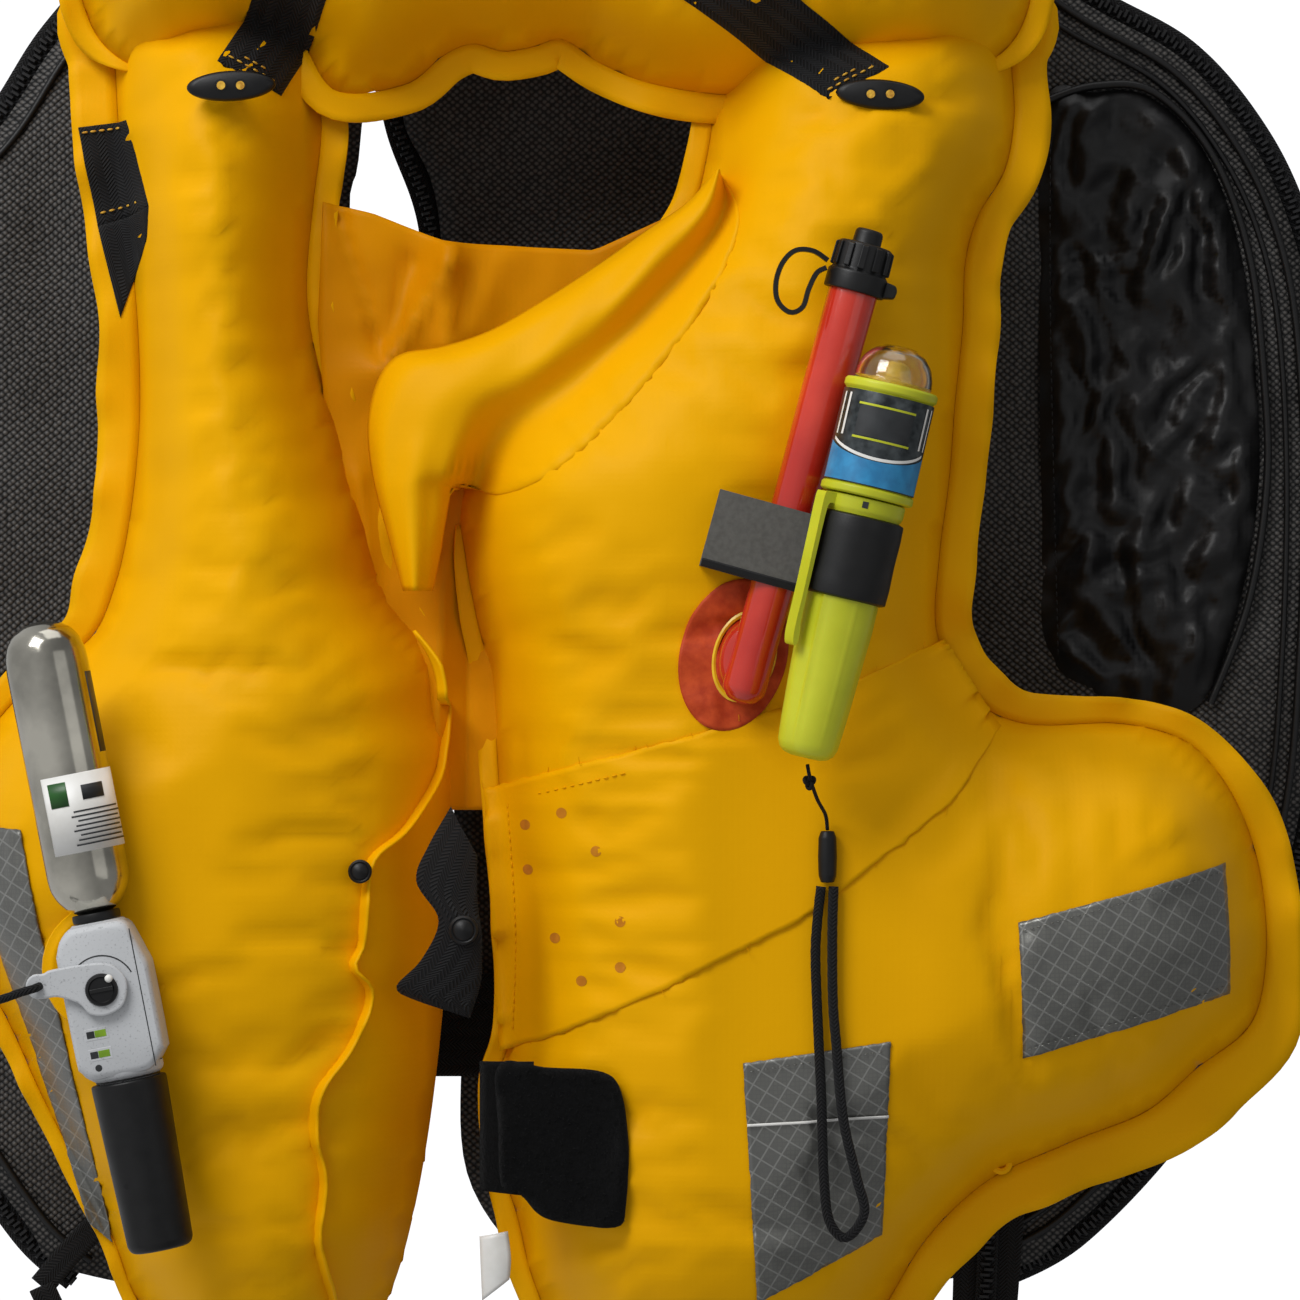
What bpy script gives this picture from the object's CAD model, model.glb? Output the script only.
import math
import random

import bmesh
import bpy
import numpy as np
from mathutils import Matrix, Vector, noise
from mathutils.bvhtree import BVHTree


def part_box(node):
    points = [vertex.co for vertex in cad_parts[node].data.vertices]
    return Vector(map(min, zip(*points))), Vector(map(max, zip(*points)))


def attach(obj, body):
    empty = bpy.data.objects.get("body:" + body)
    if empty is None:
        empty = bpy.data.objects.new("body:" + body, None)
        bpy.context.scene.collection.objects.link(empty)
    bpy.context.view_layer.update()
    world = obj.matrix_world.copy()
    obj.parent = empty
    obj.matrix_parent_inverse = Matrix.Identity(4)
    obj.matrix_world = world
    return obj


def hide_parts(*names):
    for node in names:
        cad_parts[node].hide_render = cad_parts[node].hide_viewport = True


bl_info = {
    "name": "Inflatable life jacket",
    "version": (1, 0, 0),
    "blender": (4, 5, 0),
    "location": "View3D > Sidebar > Life jacket",
    "description": "Builds an inflated life jacket with its fittings round the packed frame",
    "category": "Add Mesh",
}

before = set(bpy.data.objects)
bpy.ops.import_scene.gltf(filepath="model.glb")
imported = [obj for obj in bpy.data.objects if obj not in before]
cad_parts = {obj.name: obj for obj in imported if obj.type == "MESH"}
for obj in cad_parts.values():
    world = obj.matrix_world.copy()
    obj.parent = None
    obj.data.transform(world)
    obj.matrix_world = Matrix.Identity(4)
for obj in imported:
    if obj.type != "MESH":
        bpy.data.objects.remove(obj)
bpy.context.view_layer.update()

MM = 0.001
TUBE_TILT, TUBE_FOOT, TUBE_LENGTH = 15.4, (83.1, -163.5, -198.1), 160.0
LIGHT_TILT, LIGHT_FOOT = 13.2, (104.7, -184.5, -224.5)
GAS_TILT, GAS_FOOT = -11.1, (-131.3, -169.0, -405.6)
LEVER_AT = (-1.7, 98.6)
SEAM_Y = -88.0  # depth of the welded seam that joins a lobe's two panels
LOOP_RUB = (110, -300, -154.6)  # where the wrist loop rubs the right lobe, and how far forward it may stand
NO_SKIN_Y = -140.0  # depth taken where no skin lies behind a place


def tint(hex_code):
    """An sRGB colour as linear red, green, blue and alpha."""
    out = []
    for i in (0, 2, 4):
        value = int(hex_code[i : i + 2], 16) / 255
        out.append(value / 12.92 if value <= 0.04045 else ((value + 0.055) / 1.055) ** 2.4)
    return (*out, 1.0)


def size(name, default, description):
    return bpy.props.FloatProperty(name=name, default=default, description=description, unit="LENGTH")


def colour(name, hex_code, description):
    return bpy.props.FloatVectorProperty(name=name, subtype="COLOR", size=4, min=0, max=1,
        default=tint(hex_code), description=description)


class JacketSizes(bpy.types.PropertyGroup):
    cloth_cell: size("Cloth cell", 0.0042, "Spacing of the bladder's mesh")
    lobe_front: size("Lobe front", 0.0625, "How far a lobe stands in front of its seam")
    lobe_back: size("Lobe back", 0.058, "How far a lobe stands behind its seam")
    roll: size("Roll of the lobe", 0.072, "Width over which a lobe curves down to its seam")
    pucker: size("Pucker", 0.0034, "Height of the small folds along a seam")
    ruffle: size("Ruffle", 0.0026, "Waviness of the welded edge")
    tape: size("Tape", 0.0006, "Thickness of reflective tape")
    webbing: size("Webbing", 0.0016, "Thickness of webbing")
    zip_pitch: size("Zip pitch", 0.0021, "Distance from one zip tooth to the next")


class JacketColours(bpy.types.PropertyGroup):
    bladder: colour("Bladder", "EFAE00", "Lit bladder cloth")
    bladder_deep: colour("Bladder, deep", "EBA900", "Bladder cloth where it is thicker")
    band: colour("Band", "F0AD00", "Cloth band over the right lobe")
    bridge: colour("Bridge", "E49700", "Slack cloth between the lobes")
    black: colour("Black", "0F0F10", "Webbing and moulded fittings")
    red: colour("Tube red", "D63A24", "Oral inflation tube")
    base: colour("Base red", "CE4F20", "Base patch of the tube")
    lime: colour("Lime", "CDD02E", "Strobe light's housing")
    grey: colour("Light grey", "C2C4C6", "Inflator body")
    silver: colour("Reflective silver", "74746F", "Retro-reflective tape")


def sizes():
    return bpy.context.scene.jacket_sizes


def colours():
    return bpy.context.scene.jacket_colours


# ---- materials ----
def add_node(tree, kind, links=None, **settings):
    """One node, with its settings, and its inputs set or linked."""
    made = tree.nodes.new(kind)
    for key, value in settings.items():
        setattr(made, key, value)
    for key, value in (links or {}).items():
        socket = made.inputs[key]
        if isinstance(value, bpy.types.NodeSocket):
            tree.links.new(value, socket)
        else:
            socket.default_value = value
    return made


def new_material(name, **shader):
    """A material with a Principled shader whose uniform values sit on its own sockets."""
    made = bpy.data.materials.new(name)
    made.use_nodes = True
    tree = made.node_tree
    surface = tree.nodes["Principled BSDF"]
    for key, value in shader.items():
        surface.inputs[key.replace("_", " ")].default_value = value
    where = add_node(tree, "ShaderNodeTexCoord").outputs["Object"]
    return made, tree, surface, where


def two_tones(tree, surface, where, light, dark, patch_mm, low=0.35, high=0.7, detail=3.0):
    """Colour that drifts between two tones in soft patches of a real size."""
    cloud = add_node(tree, "ShaderNodeTexNoise", {"Vector": where, "Scale": 1000 / patch_mm,
        "Detail": detail})
    ramp = add_node(tree, "ShaderNodeValToRGB", {"Fac": cloud.outputs["Fac"]})
    ramp.color_ramp.elements[0].position, ramp.color_ramp.elements[0].color = low, dark
    ramp.color_ramp.elements[1].position, ramp.color_ramp.elements[1].color = high, light
    tree.links.new(ramp.outputs["Color"], surface.inputs["Base Color"])


def raise_grain(tree, surface, height, depth_mm, strength=1.0, before=None):
    links = {"Height": height, "Distance": depth_mm * MM, "Strength": strength}
    if before is not None:
        links["Normal"] = before
    bump = add_node(tree, "ShaderNodeBump", links)
    tree.links.new(bump.outputs["Normal"], surface.inputs["Normal"])
    return bump.outputs["Normal"]


def threads(tree, where, pitch_mm):
    """Height of a plain weave: two sets of threads across each other."""
    rows = []
    for axis in ("X", "Z"):
        wave = add_node(tree, "ShaderNodeTexWave", {"Vector": where, "Scale": 1000 / pitch_mm / 20
            * math.tau, "Distortion": 0.4, "Detail": 1.0}, wave_type="BANDS", bands_direction=axis)
        rows.append(wave.outputs["Fac"])
    return add_node(tree, "ShaderNodeMath", {0: rows[0], 1: rows[1]}, operation="MULTIPLY").outputs[0]


def coated_cloth(name, light, dark, roughness=0.47):
    """Polyurethane-coated nylon, calendered: a soft satin with a fine weave just telegraphing through."""
    made, tree, surface, where = new_material(name, Roughness=roughness, Specular_IOR_Level=0.06)
    two_tones(tree, surface, where, light, dark, 70, 0.25, 0.62)
    # the real threads are about 0.3 mm apart, drawn 2.2 mm apart so that they show
    weave = threads(tree, where, 2.2)
    fine = raise_grain(tree, surface, weave, 0.05, 0.35)
    crinkle = add_node(tree, "ShaderNodeTexNoise", {"Vector": where, "Scale": 160, "Detail": 5.0,
        "Roughness": 0.6})
    raise_grain(tree, surface, crinkle.outputs["Fac"], 0.3, 0.28, fine)
    return made


def woven_webbing():
    """Polyester webbing in a herringbone twill: slanting ribs that turn back every few millimetres."""
    made, tree, surface, where = new_material("woven_polyester_webbing", Roughness=0.72,
        Specular_IOR_Level=0.25, Sheen_Weight=0.04, Sheen_Roughness=0.5)
    run = add_node(tree, "ShaderNodeAttribute", attribute_name="run")
    part = add_node(tree, "ShaderNodeSeparateXYZ", {"Vector": run.outputs["Vector"]})
    # zigzag fold of the across direction, 6 mm wide, added to the along direction
    fold = add_node(tree, "ShaderNodeMath", {0: part.outputs["X"], 1: 0.003}, operation="PINGPONG")
    slant = add_node(tree, "ShaderNodeMath", {0: part.outputs["Y"], 1: fold.outputs[0]}, operation="ADD")
    rib = add_node(tree, "ShaderNodeMath", {0: slant.outputs[0], 1: 2 * math.pi / 0.0015},
        operation="MULTIPLY")
    wave = add_node(tree, "ShaderNodeMath", {0: rib.outputs[0]}, operation="SINE")
    ramp = add_node(tree, "ShaderNodeValToRGB", {"Fac": wave.outputs[0]})
    ramp.color_ramp.elements[0].color = tint("070708")
    ramp.color_ramp.elements[1].color = tint("1C1C1E")
    tree.links.new(ramp.outputs["Color"], surface.inputs["Base Color"])
    raise_grain(tree, surface, wave.outputs[0], 0.25, 0.8)
    return made


def spacer_mesh():
    """Knitted spacer mesh, black: rows of small oval loops, set corner to corner."""
    made, tree, surface, where = new_material("knitted_spacer_mesh", Roughness=0.5, Specular_IOR_Level=0.35)
    # loops are 2.3 mm apart, in a net turned by 45 degrees; the pattern doesn't change through the cloth
    net = add_node(tree, "ShaderNodeMapping", {"Vector": where, "Rotation": (0, math.radians(45), 0),
        "Scale": (1, 0.001, 1.2), "Location": (0, 0.0006, 0)})
    loops = add_node(tree, "ShaderNodeTexVoronoi", {"Vector": net.outputs["Vector"], "Scale": 1000 / 2.3,
        "Randomness": 0.22}, feature="F1")
    ramp = add_node(tree, "ShaderNodeValToRGB", {"Fac": loops.outputs["Distance"]})
    ramp.color_ramp.elements[0].position, ramp.color_ramp.elements[0].color = 0.2, tint("565350")
    ramp.color_ramp.elements[1].position, ramp.color_ramp.elements[1].color = 0.5, tint("070707")
    tree.links.new(ramp.outputs["Color"], surface.inputs["Base Color"])
    raise_grain(tree, surface, loops.outputs["Distance"], -0.8, 1.0)
    return made


def gloss_nylon():
    """Calendered nylon lining, dyed black: thin, shiny and finely creased."""
    made, tree, surface, where = new_material("calendered_nylon_lining", Roughness=0.44,
        Specular_IOR_Level=0.4)
    two_tones(tree, surface, where, tint("0C0B0C"), tint("060606"), 30)
    fine = raise_grain(tree, surface, threads(tree, where, 1.8), 0.04, 0.3)
    creases = add_node(tree, "ShaderNodeTexNoise", {"Vector": where, "Scale": 120, "Detail": 4.0},
        noise_type="RIDGED_MULTIFRACTAL")
    raise_grain(tree, surface, creases.outputs["Fac"], 0.5, 0.25, fine)
    return made


def hook_and_loop():
    """Nylon loop pile: short matt fibres in all directions."""
    made, tree, surface, where = new_material("nylon_loop_pile", Roughness=0.95, Specular_IOR_Level=0.1,
        Sheen_Weight=0.06)
    two_tones(tree, surface, where, tint("0D0D0E"), tint("030303"), 1.4, 0.3, 0.7, 6.0)
    pile = add_node(tree, "ShaderNodeTexNoise", {"Vector": where, "Scale": 900, "Detail": 6.0,
        "Roughness": 0.8})
    raise_grain(tree, surface, pile.outputs["Fac"], 1.2, 1.0)
    return made


def reflective_tape():
    """Retro-reflective coated tape: grey silver with a net of thin raised lines round small cells."""
    made, tree, surface, where = new_material("retro_reflective_tape", Metallic=0.55, Roughness=0.36,
        Specular_IOR_Level=0.5)
    turned = add_node(tree, "ShaderNodeMapping", {"Vector": where, "Rotation": (0, math.radians(59), 0)})
    part = add_node(tree, "ShaderNodeSeparateXYZ", {"Vector": turned.outputs["Vector"]})
    lines = []
    for side in ("X", "Z"):  # a net of diamonds, 5.6 mm apart
        near = add_node(tree, "ShaderNodeMath", {0: part.outputs[side], 1: 0.0028}, operation="PINGPONG")
        lines.append(near.outputs[0])
    nearest = add_node(tree, "ShaderNodeMath", {0: lines[0], 1: lines[1]}, operation="MINIMUM")
    seal = add_node(tree, "ShaderNodeMath", {0: nearest.outputs[0], 1: 0.0003}, operation="LESS_THAN")
    cells = add_node(tree, "ShaderNodeTexVoronoi", {"Vector": where, "Scale": 1000 / 1.6,
        "Randomness": 0.15}, feature="DISTANCE_TO_EDGE")
    tone = add_node(tree, "ShaderNodeValToRGB", {"Fac": cells.outputs["Distance"]})
    tone.color_ramp.elements[0].color = tint("6B6B68")
    tone.color_ramp.elements[1].position, tone.color_ramp.elements[1].color = 0.2, tuple(colours().silver)
    both = add_node(tree, "ShaderNodeMix", {"Factor": seal.outputs[0]}, data_type="RGBA")
    tree.links.new(tone.outputs["Color"], both.inputs["A"])
    both.inputs["B"].default_value = tint("8E8E8A")
    tree.links.new(both.outputs["Result"], surface.inputs["Base Color"])
    raise_grain(tree, surface, seal.outputs[0], 0.15, 0.6)
    return made


def moulded(name, light, dark, roughness, grain_mm=0.7, depth_mm=0.06, spec=0.5, metallic=0.0, patch_mm=6.0,
            coat=0.0, sss=0.0, low=0.35, high=0.65):
    """Moulded or finished part: fine surface grain and a slow drift of tone, with dull worn spots."""
    made, tree, surface, where = new_material(name, Specular_IOR_Level=spec, Metallic=metallic,
        Roughness=roughness)
    surface.inputs["Coat Weight"].default_value = coat
    surface.inputs["Coat Roughness"].default_value = 0.12
    surface.inputs["Subsurface Weight"].default_value = sss
    surface.inputs["Subsurface Scale"].default_value = 0.004
    light, dark = (tint(tone) if isinstance(tone, str) else tuple(tone) for tone in (light, dark))
    two_tones(tree, surface, where, light, dark, patch_mm, low, high, 5.0)
    wear = add_node(tree, "ShaderNodeTexNoise", {"Vector": where, "Scale": 90, "Detail": 6.0})
    span = add_node(tree, "ShaderNodeMapRange", {"Value": wear.outputs["Fac"], "From Min": 0.3,
        "From Max": 0.7, "To Min": roughness * 0.85, "To Max": min(roughness * 1.25, 1)})
    tree.links.new(span.outputs["Result"], surface.inputs["Roughness"])
    grain = add_node(tree, "ShaderNodeTexNoise", {"Vector": where, "Scale": 1000 / grain_mm, "Detail": 3.0})
    raise_grain(tree, surface, grain.outputs["Fac"], depth_mm, 0.5)
    return made


def clear_dome():
    """Injection-moulded clear polycarbonate, slightly yellowed."""
    made, tree, surface, where = new_material("moulded_polycarbonate", Roughness=0.06, IOR=1.58,
        Transmission_Weight=1.0)
    two_tones(tree, surface, where, tint("FFFFFF"), tint("F3F0E2"), 8)
    ripple = add_node(tree, "ShaderNodeTexNoise", {"Vector": where, "Scale": 220})
    raise_grain(tree, surface, ripple.outputs["Fac"], 0.05, 0.3)
    return made


FINISH = {}


def finishes():
    c = colours()
    FINISH.update(
        bladder=coated_cloth("coated_nylon_bladder", tuple(c.bladder), tuple(c.bladder_deep)),
        band=coated_cloth("coated_nylon_band", tuple(c.band), tuple(c.bladder), 0.5),
        bridge=coated_cloth("coated_nylon_bridge", tuple(c.bridge), tint("C47C00")),
        webbing=woven_webbing(),
        spacer=spacer_mesh(),
        nylon=gloss_nylon(),
        pile=hook_and_loop(),
        silver=reflective_tape(),
        # polyester thread, twisted: a warm gold with a soft shine
        thread=moulded("twisted_polyester_thread", "E9B93A", "B07A12", 0.6, 0.4, 0.1, patch_mm=1.5),
        # nylon zip chain, moulded: half-matt black
        zip=moulded("moulded_acetal_zip", "18181A", "0C0C0D", 0.42, 0.8, 0.05, 0.4, patch_mm=3),
        # glass-filled nylon, moulded: black with a dull bloom
        black=moulded("moulded_black_nylon", c.black, "080809", 0.42, 0.6, 0.05, 0.35),
        # synthetic rubber, moulded: soft grey highlights
        rubber=moulded("moulded_black_rubber", "0E0E0F", "080808", 0.45, 0.9, 0.05, 0.4),
        # PVC tube, extruded: wet-looking red
        red=moulded("extruded_red_pvc", c.red, "BC2414", 0.15, 3.0, 0.03, 0.5, patch_mm=40, coat=0.6,
                    sss=0.05),
        # PVC patch, moulded and welded: dull orange-red
        base=moulded("moulded_pvc_patch", c.base, "AE3610", 0.55, 1.0, 0.12, 0.25),
        # ABS, moulded in lime: even, slightly translucent
        lime=moulded("moulded_lime_abs", c.lime, "BCC022", 0.36, 1.2, 0.04, 0.4, patch_mm=30, sss=0.05),
        # closed-cell foam sheet, cut: charcoal, fine open pores on the cut
        foam=moulded("cut_closed_cell_foam", "615F5B", "575551", 0.8, 0.6, 0.1, 0.3, patch_mm=2),
        # zinc-plated steel: bright, with a drawn grain and small dull marks
        steel=moulded("zinc_plated_steel", "CFCBBE", "A09D93", 0.15, 2.5, 0.03, 0.5, 1.0, patch_mm=25),
        # talc-filled nylon, moulded: pale grey with dark specks
        grey=moulded("moulded_speckled_nylon", c.grey, "9A9C9E", 0.5, 0.8, 0.06, patch_mm=0.9, low=0.28,
                     high=0.42),
        window=moulded("moulded_green_acetal", "8DB522", "6F9417", 0.35, 1.0, 0.03),
        lamp=moulded("moulded_yellow_diffuser", "F4CB1C", "DFAE10", 0.3, 1.0, 0.03),
        # vinyl sticker, printed: smooth with a slight silk
        paper=moulded("printed_vinyl_label", "F1F0EC", "E2E0DA", 0.38, 0.5, 0.02, patch_mm=12),
        ink=moulded("printed_black_ink", "2B2E30", "1B1D1F", 0.4, 0.5, 0.02, patch_mm=8),
        green_ink=moulded("printed_green_ink", "1F5A1A", "18491A", 0.4, 0.5, 0.02),
        blue_ink=moulded("printed_blue_ink", "2E8FC4", "2478AB", 0.4, 0.5, 0.02),
        sticker=moulded("foil_sticker", "4A5052", "23282A", 0.3, 1.0, 0.02, 0.5, 0.5, patch_mm=4),
        hole=moulded("shadowed_recess", "D08400", "B87000", 0.8, 0.6, 0.03),
        clear=clear_dome(),
    )


# ---- mesh helpers: points in millimetres ----
def piece(name, points, faces, finish, body, slot, nodes=(), smooth=True, run=None):
    mesh = bpy.data.meshes.new(name)
    mesh.from_pydata([tuple(np.array(p, float) * MM) for p in points], [], [tuple(int(i) for i in f)
        for f in faces])
    if run is not None:  # distances across and along a strap, which its weave follows
        grain = mesh.attributes.new("run", "FLOAT_VECTOR", "POINT")
        grain.data.foreach_set("vector", np.array([(u, v, 0) for u, v in run], np.float32).ravel())
    mesh.validate()
    work = bmesh.new()
    work.from_mesh(mesh)
    bmesh.ops.remove_doubles(work, verts=work.verts, dist=2e-6)
    bmesh.ops.recalc_face_normals(work, faces=work.faces)
    work.to_mesh(mesh)
    work.free()
    obj = bpy.data.objects.new(name, mesh)
    bpy.context.collection.objects.link(obj)
    mesh.materials.append(FINISH[finish])
    for face in mesh.polygons:
        face.use_smooth = smooth
    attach(obj, body)
    if nodes:
        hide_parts(*nodes)
    return obj


def sharp(obj, angle=32):
    """Smooth shading with crisp edges past an angle."""
    mesh = obj.data
    work = bmesh.new()
    work.from_mesh(mesh)
    limit = math.radians(angle)
    for edge in work.edges:
        edge.smooth = len(edge.link_faces) == 2 and edge.calc_face_angle(0) < limit
    for face in work.faces:
        face.smooth = True
    work.to_mesh(mesh)
    work.free()
    return obj


def add_modifier(obj, kind, **settings):
    made = obj.modifiers.new(kind.title(), kind)
    for key, value in settings.items():
        setattr(made, key, value)
    return made


def thicken(obj, thickness_mm, offset=0.0):
    add_modifier(obj, "SOLIDIFY", thickness=thickness_mm * MM, offset=offset)
    return obj


def soften(obj, width_mm, segments=2):
    add_modifier(obj, "BEVEL", width=width_mm * MM, segments=segments, limit_method="ANGLE",
        angle_limit=math.radians(35))
    return obj


def curve_through(points, step, closed=False):
    """Even points on a smooth curve through the given ones."""
    pts = [np.array(p, float) for p in points]
    n = len(pts)
    out = []
    spans = n if closed else n - 1
    for i in range(spans):
        if closed:
            a, b, c, d = (pts[(i + k) % n] for k in (-1, 0, 1, 2))
        else:
            a, b, c, d = pts[max(i - 1, 0)], pts[i], pts[i + 1], pts[min(i + 2, n - 1)]
        count = max(int(np.linalg.norm(c - b) / step * 2), 2)
        for k in range(count):
            t = k / count
            out.append(0.5 * (2 * b + (c - a) * t + (2 * a - 5 * b + 4 * c - d) * t**2 +
                (3 * b - a - 3 * c + d) * t**3))
    if not closed:
        out.append(pts[-1])
    out = np.array(out)
    ring = np.vstack([out, out[:1]]) if closed else out
    along = np.concatenate([[0], np.cumsum(np.linalg.norm(np.diff(ring, axis=0), axis=1))])
    number = max(int(round(along[-1] / step)), 2)
    marks = np.linspace(0, along[-1], number + 1)[: number if closed else number + 1]
    return np.stack([np.interp(marks, along, ring[:, k]) for k in range(ring.shape[1])], 1)


def grid_faces(rows, columns, wrap=False):
    """Quads of a grid, closed across its columns when wrapped."""
    faces = []
    for r in range(rows - 1):
        for c in range(columns if wrap else columns - 1):
            d = (c + 1) % columns
            faces.append((r * columns + c, r * columns + d, (r + 1) * columns + d, (r + 1) * columns + c))
    return faces


def wobble(*where, seed=0.0):
    return noise.noise(Vector((where[0], where[1] if len(where) > 1 else 0.0, seed)))


def standing(points, tilt, foot):
    """Points of a leaning fitting moved to their place."""
    turn = Matrix.Rotation(math.radians(tilt), 3, "Y")
    return [tuple(turn @ Vector(p) + Vector(foot)) for p in points]


def turned(profile, sides=64):
    """Turned skin from its outline of radius and height."""
    points = [(r * math.cos(2 * math.pi * i / sides), r * math.sin(2 * math.pi * i / sides), z)
        for r, z in profile for i in range(sides)]
    return points, grid_faces(len(profile), sides, True)


def rounded(profile, radius):
    """The outline with its corners rounded."""
    out = [profile[0]]
    for a, b, c in zip(profile, profile[1:], profile[2:]):
        a, b, c = (np.array(p, float) for p in (a, b, c))
        u, v = a - b, c - b
        lu, lv = np.linalg.norm(u), np.linalg.norm(v)
        if lu < 1e-6 or lv < 1e-6 or abs(np.dot(u, v) / lu / lv) > 0.995:
            out.append(tuple(b))
            continue
        r = min(radius, lu * 0.45, lv * 0.45)
        p, q = b + u / lu * r, b + v / lv * r
        for k in range(4):
            t = k / 3
            out.append(tuple((1 - t) ** 2 * p + 2 * t * (1 - t) * b + t * t * q))
    out.append(profile[-1])
    return out


def fitting(name, profile, tilt, foot, finish, body, slot, nodes=(), radius=0.5, sides=64):
    points, faces = turned(rounded(profile, radius), sides)
    return sharp(piece(name, standing(points, tilt, foot), faces, finish, body, slot, nodes), 40)


def prism(outline, near, far):
    """Solid between two depths from an outline of across and up."""
    n = len(outline)
    points = [(x, near, z) for x, z in outline] + [(x, far, z) for x, z in outline]
    faces = [tuple(range(n)), tuple(range(2 * n - 1, n - 1, -1))]
    faces += [(i, (i + 1) % n, n + (i + 1) % n, n + i) for i in range(n)]
    return points, faces


def oval(rx, rz, sides=32, x=0.0, z=0.0, lean=0.0):
    lean = math.radians(lean)
    out = []
    for i in range(sides):
        a = 2 * math.pi * i / sides
        u, v = rx * math.cos(a), rz * math.sin(a)
        out.append((x + u * math.cos(lean) + v * math.sin(lean), z - u * math.sin(lean) + v * math.cos(lean
            )))
    return out


def merge(parts):
    """Several point and face lists as one."""
    points, faces = [], []
    for p, f in parts:
        faces += [tuple(i + len(points) for i in face) for face in f]
        points += list(p)
    return points, faces


# ---- camera and light ----
def build_camera():
    data = bpy.data.cameras.new("studio_camera")
    data.lens, data.sensor_width = 179.4, 36.0
    data.clip_start, data.clip_end = 0.05, 40.0
    camera = bpy.data.objects.new("studio_camera", data)
    bpy.context.collection.objects.link(camera)
    camera.location = (0.0481, -2.55, -0.1852)
    camera.rotation_euler = (math.radians(90), 0, 0)
    bpy.context.scene.camera = camera


def build_stage():
    """A white light tent with a key light at the upper left and weak fill lights."""
    world = bpy.data.worlds.new("light_tent")
    bpy.context.scene.world = world
    world.use_nodes = True
    tree = world.node_tree
    background = tree.nodes["Background"]
    background.inputs["Color"].default_value = tint("F4F5F7")
    # the tent's cloth is blown out to white where it is seen, and lights the jacket more softly
    ray = add_node(tree, "ShaderNodeLightPath")
    way = add_node(tree, "ShaderNodeTexCoord")
    part = add_node(tree, "ShaderNodeSeparateXYZ", {"Vector": way.outputs["Generated"]})
    side = add_node(tree, "ShaderNodeMapRange", {"Value": part.outputs["X"], "From Min": -0.5,
        "From Max": 0.5, "To Min": 0.58, "To Max": 0.26})
    seen = add_node(tree, "ShaderNodeMapRange", {"Value": ray.outputs["Is Camera Ray"],
        "To Min": side.outputs["Result"], "To Max": 1.2})
    tree.links.new(seen.outputs["Result"], background.inputs["Strength"])
    for name, place, wide, power in (("key_light", (-0.95, -1.35, 1.25), 1.0, 28),
            ("fill_light", (1.6, -2.0, 0.3), 1.6, 3), ("top_light", (0.2, -0.3, 1.9), 1.4, 8)):
        data = bpy.data.lights.new(name, "AREA")
        data.energy, data.size = power, wide
        light = bpy.data.objects.new(name, data)
        bpy.context.collection.objects.link(light)
        light.location = place
        aim = Vector((0.04, -0.1, -0.1)) - Vector(place)
        light.rotation_euler = aim.to_track_quat("-Z", "Y").to_euler()
    bpy.context.scene.view_settings.view_transform = "Standard"


# ---- cords ----
def build_cord(name, route, radius, finish, body, nodes, twist=0.0, **facts):
    """A round cord along its route, with a braid's small ribs."""
    line = curve_through(route, max(radius * 0.9, 1.0))
    sides = 14
    points, run = [], []
    up = Vector((0, -1, 0))
    for i, p in enumerate(line):
        ahead = Vector(line[min(i + 1, len(line) - 1)]) - Vector(line[max(i - 1, 0)])
        ahead.normalize()
        side = ahead.cross(up)
        side = side.normalized() if side.length > 1e-3 else Vector((1, 0, 0))
        up = side.cross(ahead).normalized()
        for k in range(sides):
            a = 2 * math.pi * k / sides
            rib = 1 + (0.06 * math.sin(2 * a + i * 1.1) * math.sin(2 * a - i * 1.1) if twist else 0)
            points.append(Vector(p) + (side * math.cos(a) + up * math.sin(a)) * radius * rib)
            run.append((k / sides * 0.012, i * max(radius * 0.9, 1.0) * MM))
    faces = grid_faces(len(line), sides, True)
    faces += [tuple(range(sides)), tuple(range(len(points) - 1, len(points) - 1 - sides, -1))]
    obj = piece(name, points, faces, finish, body, "webbing", nodes, run=run)
    return obj


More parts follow.
